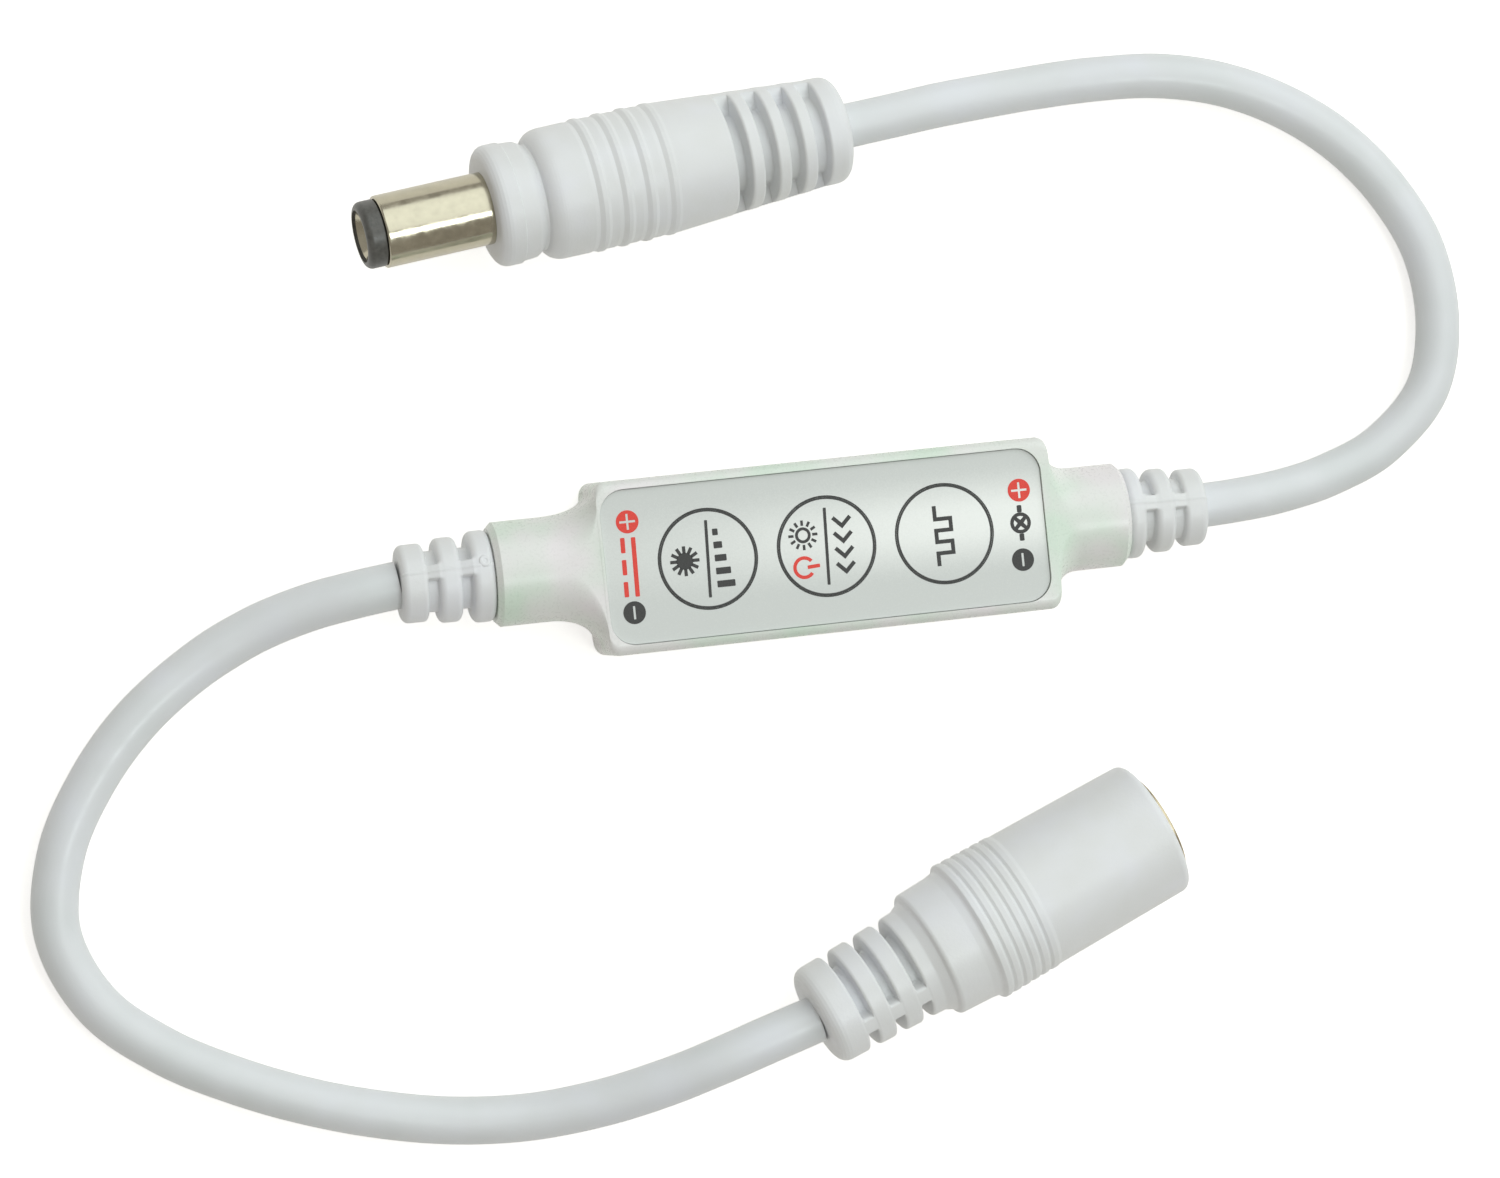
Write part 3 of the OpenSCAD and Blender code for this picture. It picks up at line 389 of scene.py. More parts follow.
FILM_WITH_PAINTED_HIGHLIGHT = highlighted_film()
BLACK_INK = grained("black_ink", (0.17, 0.17, 0.17), (0.24, 0.24, 0.235), 0.5, 0.1, 0.002)
RED_INK = grained("red_ink", (0.86, 0.20, 0.15), (0.93, 0.27, 0.22), 0.5, 0.1, 0.002)
BLACK_PLASTIC = grained("black_plastic", (0.24, 0.24, 0.235), (0.32, 0.32, 0.31), 0.45, 0.15, 0.008)
TIP_PLASTIC = grained("tip_ring_plastic", (0.30, 0.30, 0.285), (0.37, 0.365, 0.35), 0.36, 0.3, 0.006)
GREY_PLASTIC = grained("grey_plastic", (0.42, 0.42, 0.43), (0.48, 0.48, 0.49), 0.5, 0.2, 0.008)
SPRING_STEEL = grained(
    "spring_steel", (0.74, 0.74, 0.72), (0.84, 0.84, 0.82), 0.28, 0.15, 0.004, Metallic=1.0)
TINNED = grained("tinned_copper", (0.76, 0.76, 0.75), (0.86, 0.86, 0.85), 0.34, 0.25, 0.01, Metallic=1.0)
LAMINATE = grained("board_laminate", (0.10, 0.36, 0.20), (0.16, 0.44, 0.26), 0.35, 0.4, 0.006)
CHIP_BLACK = grained("chip_black", (0.17, 0.17, 0.17), (0.23, 0.23, 0.22), 0.6, 0.08, 0.01)
CERAMIC = grained("tan_ceramic", (0.70, 0.60, 0.46), (0.78, 0.68, 0.54), 0.5, 0.1, 0.006)
RED_CORE = grained("red_core", (0.72, 0.12, 0.10), (0.80, 0.18, 0.14), 0.45, 0.3, 0.008)
BLACK_CORE = grained("black_core", (0.14, 0.14, 0.14), (0.2, 0.2, 0.2), 0.45, 0.3, 0.008)


def dress(node, material):
    """Gives a CAD node its material."""
    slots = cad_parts[node].data.materials
    slots.clear()
    slots.append(material)


# The two leads

def smooth_route(route, step=0.5):
    """Points close together on one smooth curve through the route, in metres."""
    points = [Vector(p) for p in route]
    ends = [2 * points[0] - points[1]] + points + [2 * points[-1] - points[-2]]
    made = []
    for a, b, c, d in zip(ends, ends[1:], ends[2:], ends[3:]):
        count = max(2, round((c - b).length / step))
        for k in range(count):
            t = k / count
            made.append(0.5 * (2 * b + (c - a) * t + (2 * a - 5 * b + 4 * c - d) * t ** 2
                               + (3 * b - a - 3 * c + d) * t ** 3))
    made.append(points[-1])
    return [p * MM for p in made]


def cord_tree():
    """A round jacket that follows a curve, with a map that runs along it."""
    graph, given = new_tree("cord_jacket", [
        ("Route", "Geometry"), ("Diameter", "Float"), ("Sides", "Int"), ("Waviness", "Float"),
        ("Material", "Material")])
    lumps = graph.node("ShaderNodeTexNoise", {"Scale": 160.0, "Detail": 2.0}).outputs["Fac"]
    swell = graph.times(graph.minus(lumps, 0.5), given["Waviness"])
    plain = graph.times(given["Diameter"], 0.5)
    radius = graph.times(graph.plus(swell, 1.0), plain)
    sized = graph.node("GeometryNodeSetCurveRadius", {"Curve": given["Route"], "Radius": radius})
    run = graph.node("GeometryNodeSplineParameter")
    length = graph.times(run.outputs["Length"], 1 / MM)
    along = graph.node("GeometryNodeStoreNamedAttribute", {
        "Geometry": sized.outputs[0], "Name": "run", "Value": length},
        data_type="FLOAT", domain="POINT")
    ring = graph.node("GeometryNodeCurvePrimitiveCircle", {"Resolution": given["Sides"], "Radius": 1.0})
    turn = graph.node("GeometryNodeStoreNamedAttribute", {
        "Geometry": ring.outputs["Curve"], "Name": "turn", "Value": run.outputs["Factor"]},
        data_type="FLOAT", domain="POINT")
    tube = graph.node("GeometryNodeCurveToMesh", {
        "Curve": along.outputs[0], "Profile Curve": turn.outputs[0],
        "Scale": graph.node("GeometryNodeInputRadius").outputs[0], "Fill Caps": True})
    named = [graph.node("GeometryNodeInputNamedAttribute", {"Name": n}, data_type="FLOAT").outputs[0]
             for n in ("turn", "run")]
    uv = graph.node("ShaderNodeCombineXYZ", {"X": named[0], "Y": named[1]})
    mapped = graph.node("GeometryNodeStoreNamedAttribute", {
        "Geometry": tube.outputs[0], "Name": "along", "Value": uv.outputs[0]},
        data_type="FLOAT2", domain="CORNER")
    return end_tree(graph, mapped.outputs[0], given["Material"])


CORD_TREE = cord_tree()


def add_cord(name, node, route, diameter, body="housing"):
    """A lead on its smooth route. Returns the piece and the points that it follows."""
    path = smooth_route(route)
    curve = bpy.data.curves.new(name + "_route", "CURVE")
    curve.dimensions = "3D"
    spline = curve.splines.new("POLY")
    spline.points.add(len(path) - 1)
    for point, place in zip(spline.points, path):
        point.co = (*place, 1)
    lead = grow(name, curve, CORD_TREE, {
        "Diameter": diameter * MM, "Sides": 40, "Waviness": 0.05, "Material": CORD_WHITE})
    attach(lead, body)
    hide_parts(node)
    return lead, path


plug_lead, plug_path = add_cord("plug_lead", "plug_cord", PLUG_ROUTE, PLUG_CORD_D)
socket_lead, socket_path = add_cord("socket_lead", "socket_cord", SOCKET_ROUTE, SOCKET_CORD_D)


# Turned and slotted mouldings

SEAM_FROM_R = 2.5


def turned_tree():
    """Turns a profile about Z. Each profile point holds its height, its radius on the webs
    and its radius in the slots, and two webs on opposite sides bridge the slots."""
    graph, given = new_tree("turned_grip", [
        ("Profile", "Geometry"), ("Sides", "Int"), ("Web angle", "Float"), ("Web rounding", "Float"),
        ("Web turn", "Float"), ("Seam height", "Float"), ("Seam angle", "Float"), ("Material", "Material")])
    size = graph.node("GeometryNodeAttributeDomainSize", {"Geometry": given["Profile"]}, component="MESH")
    columns = graph.plus(given["Sides"], 1.0)
    grid = graph.node("GeometryNodeMeshGrid", {
        "Vertices X": size.outputs["Point Count"], "Vertices Y": columns})
    index = graph.node("GeometryNodeInputIndex").outputs[0]
    row = graph.math("FLOOR", graph.math("DIVIDE", graph.plus(index, 0.5), columns))
    column = graph.minus(index, graph.times(row, columns))
    turn = graph.times(graph.math("DIVIDE", column, given["Sides"]), 2 * math.pi)
    sample = graph.node("GeometryNodeSampleIndex", {
        "Geometry": given["Profile"], "Value": graph.node("GeometryNodeInputPosition").outputs[0],
        "Index": row}, data_type="FLOAT_VECTOR", domain="POINT")
    height, plain, cut = graph.node("ShaderNodeSeparateXYZ", {"Vector": sample.outputs[0]}).outputs
    off = graph.math("ARCSINE", graph.math(
        "ABSOLUTE", graph.math("SINE", graph.minus(turn, given["Web turn"]))))
    edge = graph.times(given["Web angle"], 0.5)
    web = graph.smooth_step(off, edge, graph.plus(edge, given["Web rounding"]), 1.0, 0.0)
    on_seam = graph.smooth_step(off, 0.0, given["Seam angle"], 1.0, 0.0)
    seam = graph.times(on_seam, given["Seam height"])
    radius = graph.plus(cut, graph.times(graph.minus(plain, cut), web))
    outside = graph.math("GREATER_THAN", radius, SEAM_FROM_R * MM)
    proud = graph.plus(radius, graph.times(seam, outside))
    place = graph.node("ShaderNodeCombineXYZ", {
        "X": graph.times(proud, graph.math("COSINE", turn)),
        "Y": graph.times(proud, graph.math("SINE", turn)), "Z": height})
    moved = graph.node("GeometryNodeSetPosition", {
        "Geometry": grid.outputs["Mesh"], "Position": place.outputs[0]})
    closed = graph.node("GeometryNodeMergeByDistance", {
        "Geometry": moved.outputs[0], "Distance": 0.0005 * MM})
    return end_tree(graph, closed.outputs[0], given["Material"])


TURNED_TREE = turned_tree()


def rounded(corners, steps=5):
    """Points along a line of (height, radius, rounding) corners."""
    made = []
    for i, (s, r, rounding) in enumerate(corners):
        here = Vector((s, r))
        if rounding == 0 or i in (0, len(corners) - 1):
            made.append((s, r))
            continue
        back = Vector(corners[i - 1][:2]) - here
        on = Vector(corners[i + 1][:2]) - here
        half = back.angle(on) / 2
        cut = min(rounding / math.tan(half), 0.48 * back.length, 0.48 * on.length)
        inner = here + (back.normalized() + on.normalized()).normalized() * cut / math.cos(half)
        start, end = here + back.normalized() * cut - inner, here + on.normalized() * cut - inner
        sweep = start.angle_signed(end)
        for k in range(steps + 1):
            a = -sweep * k / steps
            made.append((inner.x + start.x * math.cos(a) - start.y * math.sin(a),
                         inner.y + start.x * math.sin(a) + start.y * math.cos(a)))
    return made


def level(line, s):
    """Radius of a line of (height, radius) points at a height."""
    for (s0, r0), (s1, r1) in zip(line, line[1:]):
        if s0 <= s <= s1 and s1 > s0:
            return r0 + (r1 - r0) * (s - s0) / (s1 - s0)
    return line[-1][1]


def braced(line, gap=0.04):
    """The line with a point close to both ends of each long run, which keeps soft shading at corners."""
    made = [line[0]]
    for a, b in zip(line, line[1:]):
        run = math.dist(a, b)
        if run > 5 * gap:
            for share in (gap / run, 1 - gap / run):
                made.append((a[0] + (b[0] - a[0]) * share, a[1] + (b[1] - a[1]) * share))
        made.append(b)
    return made


def turned(name, corners, place, material, slots=(), plain=None, web_w=1.0, web_turn=0.0, seam=0.0, sides=224,
           web_rounding=4.5, sink=0.03):
    """A turned piece. slots lists (start, end) heights that the webs bridge, level with the line plain."""
    line = braced(rounded(corners))
    profile = bpy.data.meshes.new(name + "_profile")
    points = []
    for s, r in line:
        bridged = any(a - 0.6 <= s <= b + 0.6 for a, b in slots)
        points.append((s * MM, max(r, level(plain, s) - sink) * MM if bridged else r * MM, r * MM))
    profile.from_pydata(points, [(i, i + 1) for i in range(len(points) - 1)], [])
    outer = max(r for s, r in line) if not slots else level(plain, slots[0][0])
    return grow(name, profile, TURNED_TREE, {
        "Sides": sides, "Web angle": web_w / outer, "Web rounding": math.radians(web_rounding),
        "Web turn": math.radians(web_turn), "Seam height": seam * MM, "Seam angle": math.radians(2.6),
        "Material": material}, place)


def slot_corners(start, width, outer_start, outer_end, floor, lip=0.2, draft=0.05):
    """Corners of one slot, with slightly slanted walls and soft edges."""
    return [(start, outer_start, lip), (start + draft, floor, 0.15),
            (start + width - draft, floor, 0.15), (start + width, outer_end, lip)]


def axis_place(origin, yaw, tilt, shift):
    """Turns Z to run along an axis that dips by tilt, shift millimetres along it."""
    turn = Matrix.Rotation(math.radians(yaw), 4, "Z") @ Matrix.Rotation(math.radians(90 + tilt), 4, "Y")
    return Matrix.Translation(Vector(origin) * MM) @ turn @ Matrix.Translation((0, 0, shift * MM))


AT_PLUG = axis_place(PLUG_ROUTE[-1], PLUG_YAW, PLUG_TILT, -PLUG_L)
AT_SOCKET = axis_place(SOCKET_ROUTE[-1], SOCKET_YAW, SOCKET_TILT, 0)
AT_SUPPLY_NECK = axis_place((SUPPLY_NECK_X, SUPPLY_NECK_Y, AXIS_H), 0, -180, 0)
AT_OUTPUT_NECK = axis_place((OUTPUT_NECK_X, OUTPUT_NECK_Y, AXIS_H), 0, 0, 0)


def ride_housing(piece, slot, *nodes):
    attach(piece, "housing")
    if nodes:
        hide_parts(*nodes)
    return piece


def plug_radius(s):
    """Radius of the plug's grip: level at first, then tapered to its cord end."""
    share = (s - PLUG_TAPER_AT) / (PLUG_TAPER_END - PLUG_TAPER_AT)
    return PLUG_GRIP_R + (PLUG_CAP_R - PLUG_GRIP_R) * min(1, max(0, share))


def slot_spans(first, pitch, width, count):
    """Start and end of each slot of a row."""
    return [(first + pitch * k, first + pitch * k + width) for k in range(count)]


def add_plug_grip():
    """The moulded grip: collar, groove, level body with fine rings, and slots at the cord end."""
    r = PLUG_GRIP_R
    corners = [(7.65, 0, 0), (7.65, 0.8, 0), (5.65, 0.8, 0), (5.65, 1.55, 0), (4.85, 1.55, 0),
               (4.85, 3.65, 0), (2.95, 3.65, 0), (2.95, 2.55, 0), (0, 2.55, 0.12),
               (0, PLUG_COLLAR_R, 1.1), (1.76, PLUG_COLLAR_R, 0.05), (1.84, 4.51, 0.05), (3.0, 4.42, 0.4),
               (3.4, 4.16, 0.15), (3.56, 4.02, 0.1), (3.8, 4.05, 0.08)]
    for k in range(1, 11):
        a = math.radians(9 * k)
        corners.append((3.8 + 1.35 * (1 - math.cos(a)), 4.05 + 0.94 * math.sin(a), 0))
    for s in PLUG_RINGS + [PLUG_TAPER_AT]:
        top = 0.1 if s < PLUG_TAPER_AT else 0.06
        corners += [(s - 0.95, r, 0.2), (s - 0.6, r - 0.07, 0.1), (s - 0.24, r + top, 0.14),
                    (s + 0.06, r + top, 0.16), (s + 0.3, r - 0.01, 0.2)]
    slots = slot_spans(18.6, 2.15, 1.15, 4)
    for start, end in slots:
        corners += slot_corners(start, end - start, plug_radius(start), plug_radius(end), 3.0)
    corners += [(PLUG_L, PLUG_CAP_R, 1.2), (PLUG_L, 0, 0)]
    plain = [(14.5, plug_radius(14.5)), (PLUG_TAPER_END, PLUG_CAP_R), (PLUG_L, PLUG_CAP_R)]
    return turned("plug_grip", corners, AT_PLUG, MOULDED, slots, plain, 1.6, 103, web_rounding=2.2)


def add_socket_body():
    """The moulded socket: slots at the cord end, a waist, grip ribs and a smooth front."""
    cord_end, waist = 0.9, 9.0

    def cord_end_radius(s):
        return SOCKET_END_R + (s - cord_end) * 0.25 / (waist - cord_end)

    corners = [(0, 0, 0), (0, SOCKET_END_R, 0.9)]
    slots = slot_spans(2.45, 2.3, 0.85, 3)
    for start, end in slots:
        corners += slot_corners(
            start, end - start, cord_end_radius(start), cord_end_radius(end), 2.7, lip=0.22)
    corners += [(waist, 4.22, 0.4), (9.75, 4.6, 0.25), (9.9, 5.08, 0.4), (12.6, 5.2, 0.1), (13.2, 5.3, 0.3)]
    for k in range(SOCKET_RIBS):
        s, r = SOCKET_RIB_AT + SOCKET_RIB_PITCH * k, 5.69 - 0.02 * k
        corners += [(s - 0.42, r - 0.16 if k else 5.4, 0.06), (s - 0.2, r, 0.12), (s + 0.2, r, 0.12)]
    corners += [(18.4, 5.51, 0.1), (SOCKET_L, 5.375, 0.6), (SOCKET_L, SOCKET_MOUTH_R, 0.12),
                (18.6, SOCKET_MOUTH_R, 0), (18.6, 1.65, 0), (17.55, 1.65, 0), (17.55, 0, 0)]
    plain = [(s, cord_end_radius(s)) for s in (cord_end, waist)]
    return turned("socket_grip", corners, AT_SOCKET, MOULDED, slots, plain, 1.3, 30)


def add_relief(name, node, length, slots, place, web_turn):
    """A slotted strain relief: rings that get smaller towards the cord, joined by two webs."""
    inner = -NECK_END_T - 0.05
    corners = [(inner - 1.5, 0, 0), (inner - 1.5, RELIEF_FLANGE_R, 0.1), (inner, RELIEF_FLANGE_R, 0.1),
               (inner, RELIEF_STEM_R, 0), (-0.05, RELIEF_STEM_R, 0)]
    plain = []
    starts, ends = [0] + [end for start, end in slots], [start for start, end in slots] + [length]
    for k, (start, end) in enumerate(zip(starts, ends)):
        r = RELIEF_R - RELIEF_STEP * k
        corners.append((start - 0.05, RELIEF_CORE_R, 0.12) if k else (0, RELIEF_STEM_R, 0))
        corners += [(start, r, 0.5), (end, r, 0.5)]
        if k < len(slots):
            corners.append((end + 0.05, RELIEF_CORE_R, 0.12))
        plain += [(start, r), (end, r)]
    corners.append((length, 0, 0))
    relief = turned(name, corners, place, MOULDED, slots, plain, 1.15, web_turn, seam=0.09)
    return ride_housing(relief, "moulded_pvc", node)


plug_grip = ride_housing(add_plug_grip(), "moulded_pvc", "plug_body")
socket_grip = ride_housing(add_socket_body(), "moulded_pvc", "socket_body")
add_relief("supply_relief", "supply_strain_relief", SUPPLY_RELIEF_L, [(1.665, 2.535), (4.195, 5.065)],
           AT_SUPPLY_NECK, 15)
add_relief("output_relief", "output_strain_relief", OUTPUT_RELIEF_L, [(1.315, 2.185), (3.665, 4.535)],
           AT_OUTPUT_NECK, -13)


def add_gate_mark(name, place, radius, height):
    """The little disc that is left where the plastic flowed into the mould."""
    mark = turned(name, [
        (-0.2, 0, 0), (-0.2, radius * 1.1, 0), (0, radius * 1.06, 0.05), (height, radius * 0.9, 0.12),
        (height, radius * 0.45, 0.05), (height - 0.05, radius * 0.3, 0.03), (height - 0.05, 0, 0)],
        place, MOULDED, sides=32)
    return ride_housing(mark, "moulded_pvc")


def on_side(base, along, radius, turn):
    """Place on a moulding's side, with Z pointing away from its axis."""
    return (base @ Matrix.Translation((0, 0, along * MM)) @ Matrix.Rotation(math.radians(turn), 4, "Z")
            @ Matrix.Translation((radius * MM, 0, 0)) @ Matrix.Rotation(math.radians(90), 4, "Y"))


add_gate_mark("supply_gate_mark", on_side(AT_SUPPLY_NECK, 0.75, 3.42, 19.5), 0.45, 0.13)


# Barrel, contacts and socket metal

def add_plug_metal():
    """The barrel, the tip ring in its nose, and the funnel-mouthed contact inside."""
    barrel = turned("plug_sleeve", [
        (-BARREL_L, 2.2, 0.06), (-BARREL_L, BARREL_R, 0.14), (0, BARREL_R, 0), (0, 2.5, 0), (3.0, 2.5, 0),
        (3.0, 3.6, 0.05), (3.95, 3.6, 0.05), (3.95, 2.2, 0), (0.06 - BARREL_L, 2.2, 0)],
        AT_PLUG, PLUG_NICKEL, sides=128)
    nose = [(-9.3 - 0.5 * math.cos(math.radians(9 * k)), 2.05 + 0.5 * math.sin(math.radians(9 * k)), 0)
            for k in range(11)]
    ring = turned("plug_tip_ring", [(-9.8, 1.98, 0.03)] + nose + [
        (-8.35, 2.55, 0.1), (-8.35, 2.15, 0), (4.0, 2.15, 0), (4.0, 3.6, 0.05), (4.8, 3.6, 0.05),
        (4.8, 1.55, 0), (-8.1, 1.55, 0), (-9.6, 1.98, 0), (-9.79, 1.98, 0)],
        AT_PLUG, TIP_PLASTIC, sides=128)
    funnel = turned("plug_funnel_contact", [
        (-9.6, 1.8, 0.04), (-9.6, 1.94, 0.04), (-8.1, 1.5, 0.2), (5.6, 1.5, 0.1), (5.6, 0.75, 0),
        (7.6, 0.75, 0.05), (7.6, 0, 0), (4.8, 0, 0), (4.8, BORE_R, 0), (-8.1, BORE_R, 0.2), (-9.59, 1.8, 0)],
        AT_PLUG, PLUG_NICKEL, sides=128)
    return [ride_housing(barrel, "nickel_plate", "plug_barrel"),
            ride_housing(ring, "black_plastic", "plug_insulator"),
            ride_housing(funnel, "nickel_plate", "plug_inner_contact")]


def add_socket_sleeve():
    shell = turned("socket_sleeve", [
        (18.6, SOCKET_SHELL_R, 0), (18.6, 4.0, 0.05), (30.5, 4.0, 0.12), (30.5, SOCKET_SHELL_R, 0.08),
        (18.61, SOCKET_SHELL_R, 0)], AT_SOCKET, SOCKET_NICKEL, sides=128)
    return ride_housing(shell, "nickel_plate", "socket_shell")


plug_metal = add_plug_metal()
socket_sleeve = add_socket_sleeve()


# The case

def polar(x, y, r, a):
    return x + r * math.cos(a), y + r * math.sin(a)


def circle(x, y, r, count=96):
    return [polar(x, y, r, 2 * math.pi * k / count) for k in range(count)]


def round_block(x, y, length, width, r, steps=10):
    """Outline of a block with round corners."""
    points = []
    for k, (sx, sy) in enumerate(((1, 1), (-1, 1), (-1, -1), (1, -1))):
        for j in range(steps + 1):
            a = math.radians(90 * k + 90 * j / steps)
            points.append(polar(x + sx * (length / 2 - r), y + sy * (width / 2 - r), r, a))
    return points


def overlay_outline(spread):
    return round_block(FACE_X, 0, OVERLAY_L + 2 * spread, OVERLAY_W + 2 * spread, OVERLAY_R + spread)


def end_stations(neck_l, flare_l, offset, steps=16):
    """Stations of one end of the case: place, half width, half height, edge rounding and offset."""
    half, drop = CASE_L / 2, CASE_W / 2 - CORNER_R - NECK_R
    made = []
    for r, back in ((NECK_R - NECK_CHAMFER, 0), (NECK_R, NECK_CHAMFER)):
        made.append((half + neck_l - back, r, r, r - LEAST_FLAT, offset))
    quarter = [math.radians(90 * k / steps) for k in range(steps + 1)]
    for a in quarter:
        share = 1 - math.cos(a)
        edge = NECK_R - LEAST_FLAT + (EDGE_R - NECK_R + LEAST_FLAT) * share
        made.append((half + flare_l * (1 - math.sin(a)), NECK_R + drop * share,
                     NECK_R + (CASE_H / 2 - NECK_R) * share, edge, offset * (1 - share)))
    for a in quarter[1:]:
        made.append((half - CORNER_R * (1 - math.cos(a)), CASE_W / 2 - CORNER_R * (1 - math.sin(a)),
                     CASE_H / 2, EDGE_R, 0))
    return made


def half_shell(side, steps=20):
    """Outside of the upper (side 1) or lower (side -1) half of the case, up to the parting plane."""
    supply = end_stations(SUPPLY_NECK_L, SUPPLY_FLARE_L, SUPPLY_NECK_Y)
    output = end_stations(OUTPUT_NECK_L, OUTPUT_FLARE_L, OUTPUT_NECK_Y)
    stations = [(CASE_X - s[0], *s[1:]) for s in supply] + [(CASE_X + s[0], *s[1:]) for s in reversed(output)]
    bm = bmesh.new()
    rows = []
    for x, w, h, r, offset in stations:
        arc = [math.pi / 2 * j / steps for j in range(steps + 1)]
        half = [(w, 0)] + [polar(w - r, h - r, r, a) for a in arc]
        outline = half + [(-y, z) for y, z in reversed(half)]
        rows.append([bm.verts.new((x * MM, (y + offset) * MM, (AXIS_H + side * z) * MM)) for y, z in outline])
    skin(bm, rows)
    return close_up(bm, bpy.data.meshes.new("half_shell"))


def skin(bm, rows):
    """Walls between rows of points, and a face over the first row and the last."""
    for a, b in zip(rows, rows[1:]):
        for i in range(len(a)):
            j = (i + 1) % len(a)
            bm.faces.new((a[i], a[j], b[j], b[i]))
    bm.faces.new(rows[0])
    bm.faces.new(rows[-1])


def prism(outline, low, high):
    """A block with the given outline between two heights."""
    bm = bmesh.new()
    skin(bm, [[bm.verts.new((x * MM, y * MM, z * MM)) for x, y in outline] for z in (low, high)])
    return close_up(bm, bpy.data.meshes.new("block"))


def rod(x, y, d, low, high):
    return prism(circle(x, y, d / 2, 72), low, high)


def neck_passages():
    """The bores in the necks, each a pocket for the relief's flange behind a narrower hole."""
    made = []
    for x, y, tilt, neck_l in ((SUPPLY_NECK_X, SUPPLY_NECK_Y, 0, SUPPLY_NECK_L),
                               (OUTPUT_NECK_X, OUTPUT_NECK_Y, -180, OUTPUT_NECK_L)):
        inward = axis_place((x, y, AXIS_H), 0, tilt, 0)
        for d, low, high in ((POCKET_D, NECK_END_T, neck_l + WALL + OVERRUN),
                             (PASSAGE_D, -OVERRUN, NECK_END_T + OVERRUN)):
            bore = rod(0, 0, d, low, high)
            bore.transform(inward)
            made.append(bore)
    return made


def carved(name, form, steps):
    """A mesh after each step, which adds or takes away another mesh."""
    piece = add_object(name, form)
    for operation, tool in steps:
        holder = add_object(name + "_tool", tool)
        change = piece.modifiers.new("change", "BOOLEAN")
        change.operation = operation
        change.solver = "EXACT"
        change.object = holder
        mesh = evaluated(piece)
        piece.modifiers.remove(change)
        piece.data = mesh
        bpy.data.objects.remove(holder)
    mesh.name = name
    mesh.materials.clear()
    mesh.materials.append(CASE_WHITE)
    mesh.shade_smooth()
    mesh.set_sharp_from_angle(angle=math.radians(32))
    piece.modifiers.new("even_shading", "WEIGHTED_NORMAL").keep_sharp = True
    return piece


def add_case():
    """Both halves of the case, each hollowed out and given its lip or groove, pillars and holes."""
    def ledge(spread, r, low, high):
        return prism(round_block(CASE_X, 0, CAVITY_L + 2 * spread, CAVITY_W + 2 * spread, r), low, high)

    hollow = [("DIFFERENCE", ledge(0, CAVITY_R, WALL, CEILING_H))]
    hollow += [("DIFFERENCE", bore) for bore in neck_passages()]
    ledge_r = CAVITY_R + LIP_T
    lip = ledge(LIP_T, ledge_r, AXIS_H - OVERRUN, AXIS_H + LIP_H)
    groove = ledge(LIP_T + LIP_GAP, ledge_r, AXIS_H - OVERRUN, AXIS_H + LIP_H + LIP_GAP)
    recess = prism(overlay_outline(OVERLAY_GAP), FACE_H, CASE_H + OVERRUN)
    lower_steps = [("UNION", lip)] + hollow
    upper_steps = hollow + [("DIFFERENCE", groove), ("DIFFERENCE", recess)]
    for x in KEY_X:
        upper_steps.append(("DIFFERENCE", rod(x, 0, STEM_HOLE_D, CEILING_H - OVERRUN, CASE_H)))
        upper_steps.append(("DIFFERENCE", rod(x, 0, COUNTERBORE_D, FACE_H - COUNTERBORE_DEPTH, CASE_H)))
    for sx, sy in ((1, 1), (1, -1), (-1, 1), (-1, -1)):
        x, y = CASE_X + sx * PILLAR_X, sy * PILLAR_Y
        lower_steps.append(("UNION", rod(x, y, PILLAR_D, WALL / 2, BOARD_LEVEL)))
        if sx != sy:
            lower_steps.append(("UNION", rod(x, y, PIN_D, WALL, BOARD_TOP + PIN_PROUD)))
        else:
            upper_steps.append(("UNION", rod(x, y, PILLAR_D, BOARD_TOP, CEILING_H + PILLAR_SINK)))
    ride_housing(carved("case_upper_half", half_shell(1), upper_steps), "case_plastic", "upper_case")
    ride_housing(carved("case_lower_half", half_shell(-1), lower_steps), "case_plastic", "lower_case")


# Overlay, keys and their printing

def bar(a, b, width, r=None):
    """Outline of a straight stroke from a to b with softened corners."""
    a, b = Vector(a), Vector(b)
    middle, along = (a + b) / 2, (b - a).normalized()
    across = Vector((-along.y, along.x))
    r = width * 0.2 if r is None else r
    return [tuple(middle + px * along + py * across)
            for px, py in round_block(0, 0, (b - a).length, width, r, 4)]


def plate(name, outlines, low, high, material, soft=0.0):
    """A flat piece between two heights. Outlines inside others are holes."""
    curve = bpy.data.curves.new(name, "CURVE")
    curve.dimensions = "2D"
    curve.fill_mode = "BOTH"
    curve.extrude = (high - low) / 2 * MM - soft * MM
    curve.bevel_depth = soft * MM
    curve.bevel_resolution = 2
    curve.offset = -soft * MM
    for outline in outlines:
        spline = curve.splines.new("POLY")
        spline.points.add(len(outline) - 1)
        for point, (x, y) in zip(spline.points, outline):
            point.co = (x * MM, y * MM, 0, 1)
        spline.use_cyclic_u = True
    holder = add_object(name + "_outline", curve)
    mesh = evaluated(holder)
    bpy.data.objects.remove(holder)
    mesh.name = name
    mesh.transform(Matrix.Translation((0, 0, (low + high) / 2 * MM)))
    outward(mesh)
    mesh.materials.clear()
    mesh.materials.append(material)
    return add_object(name, mesh)


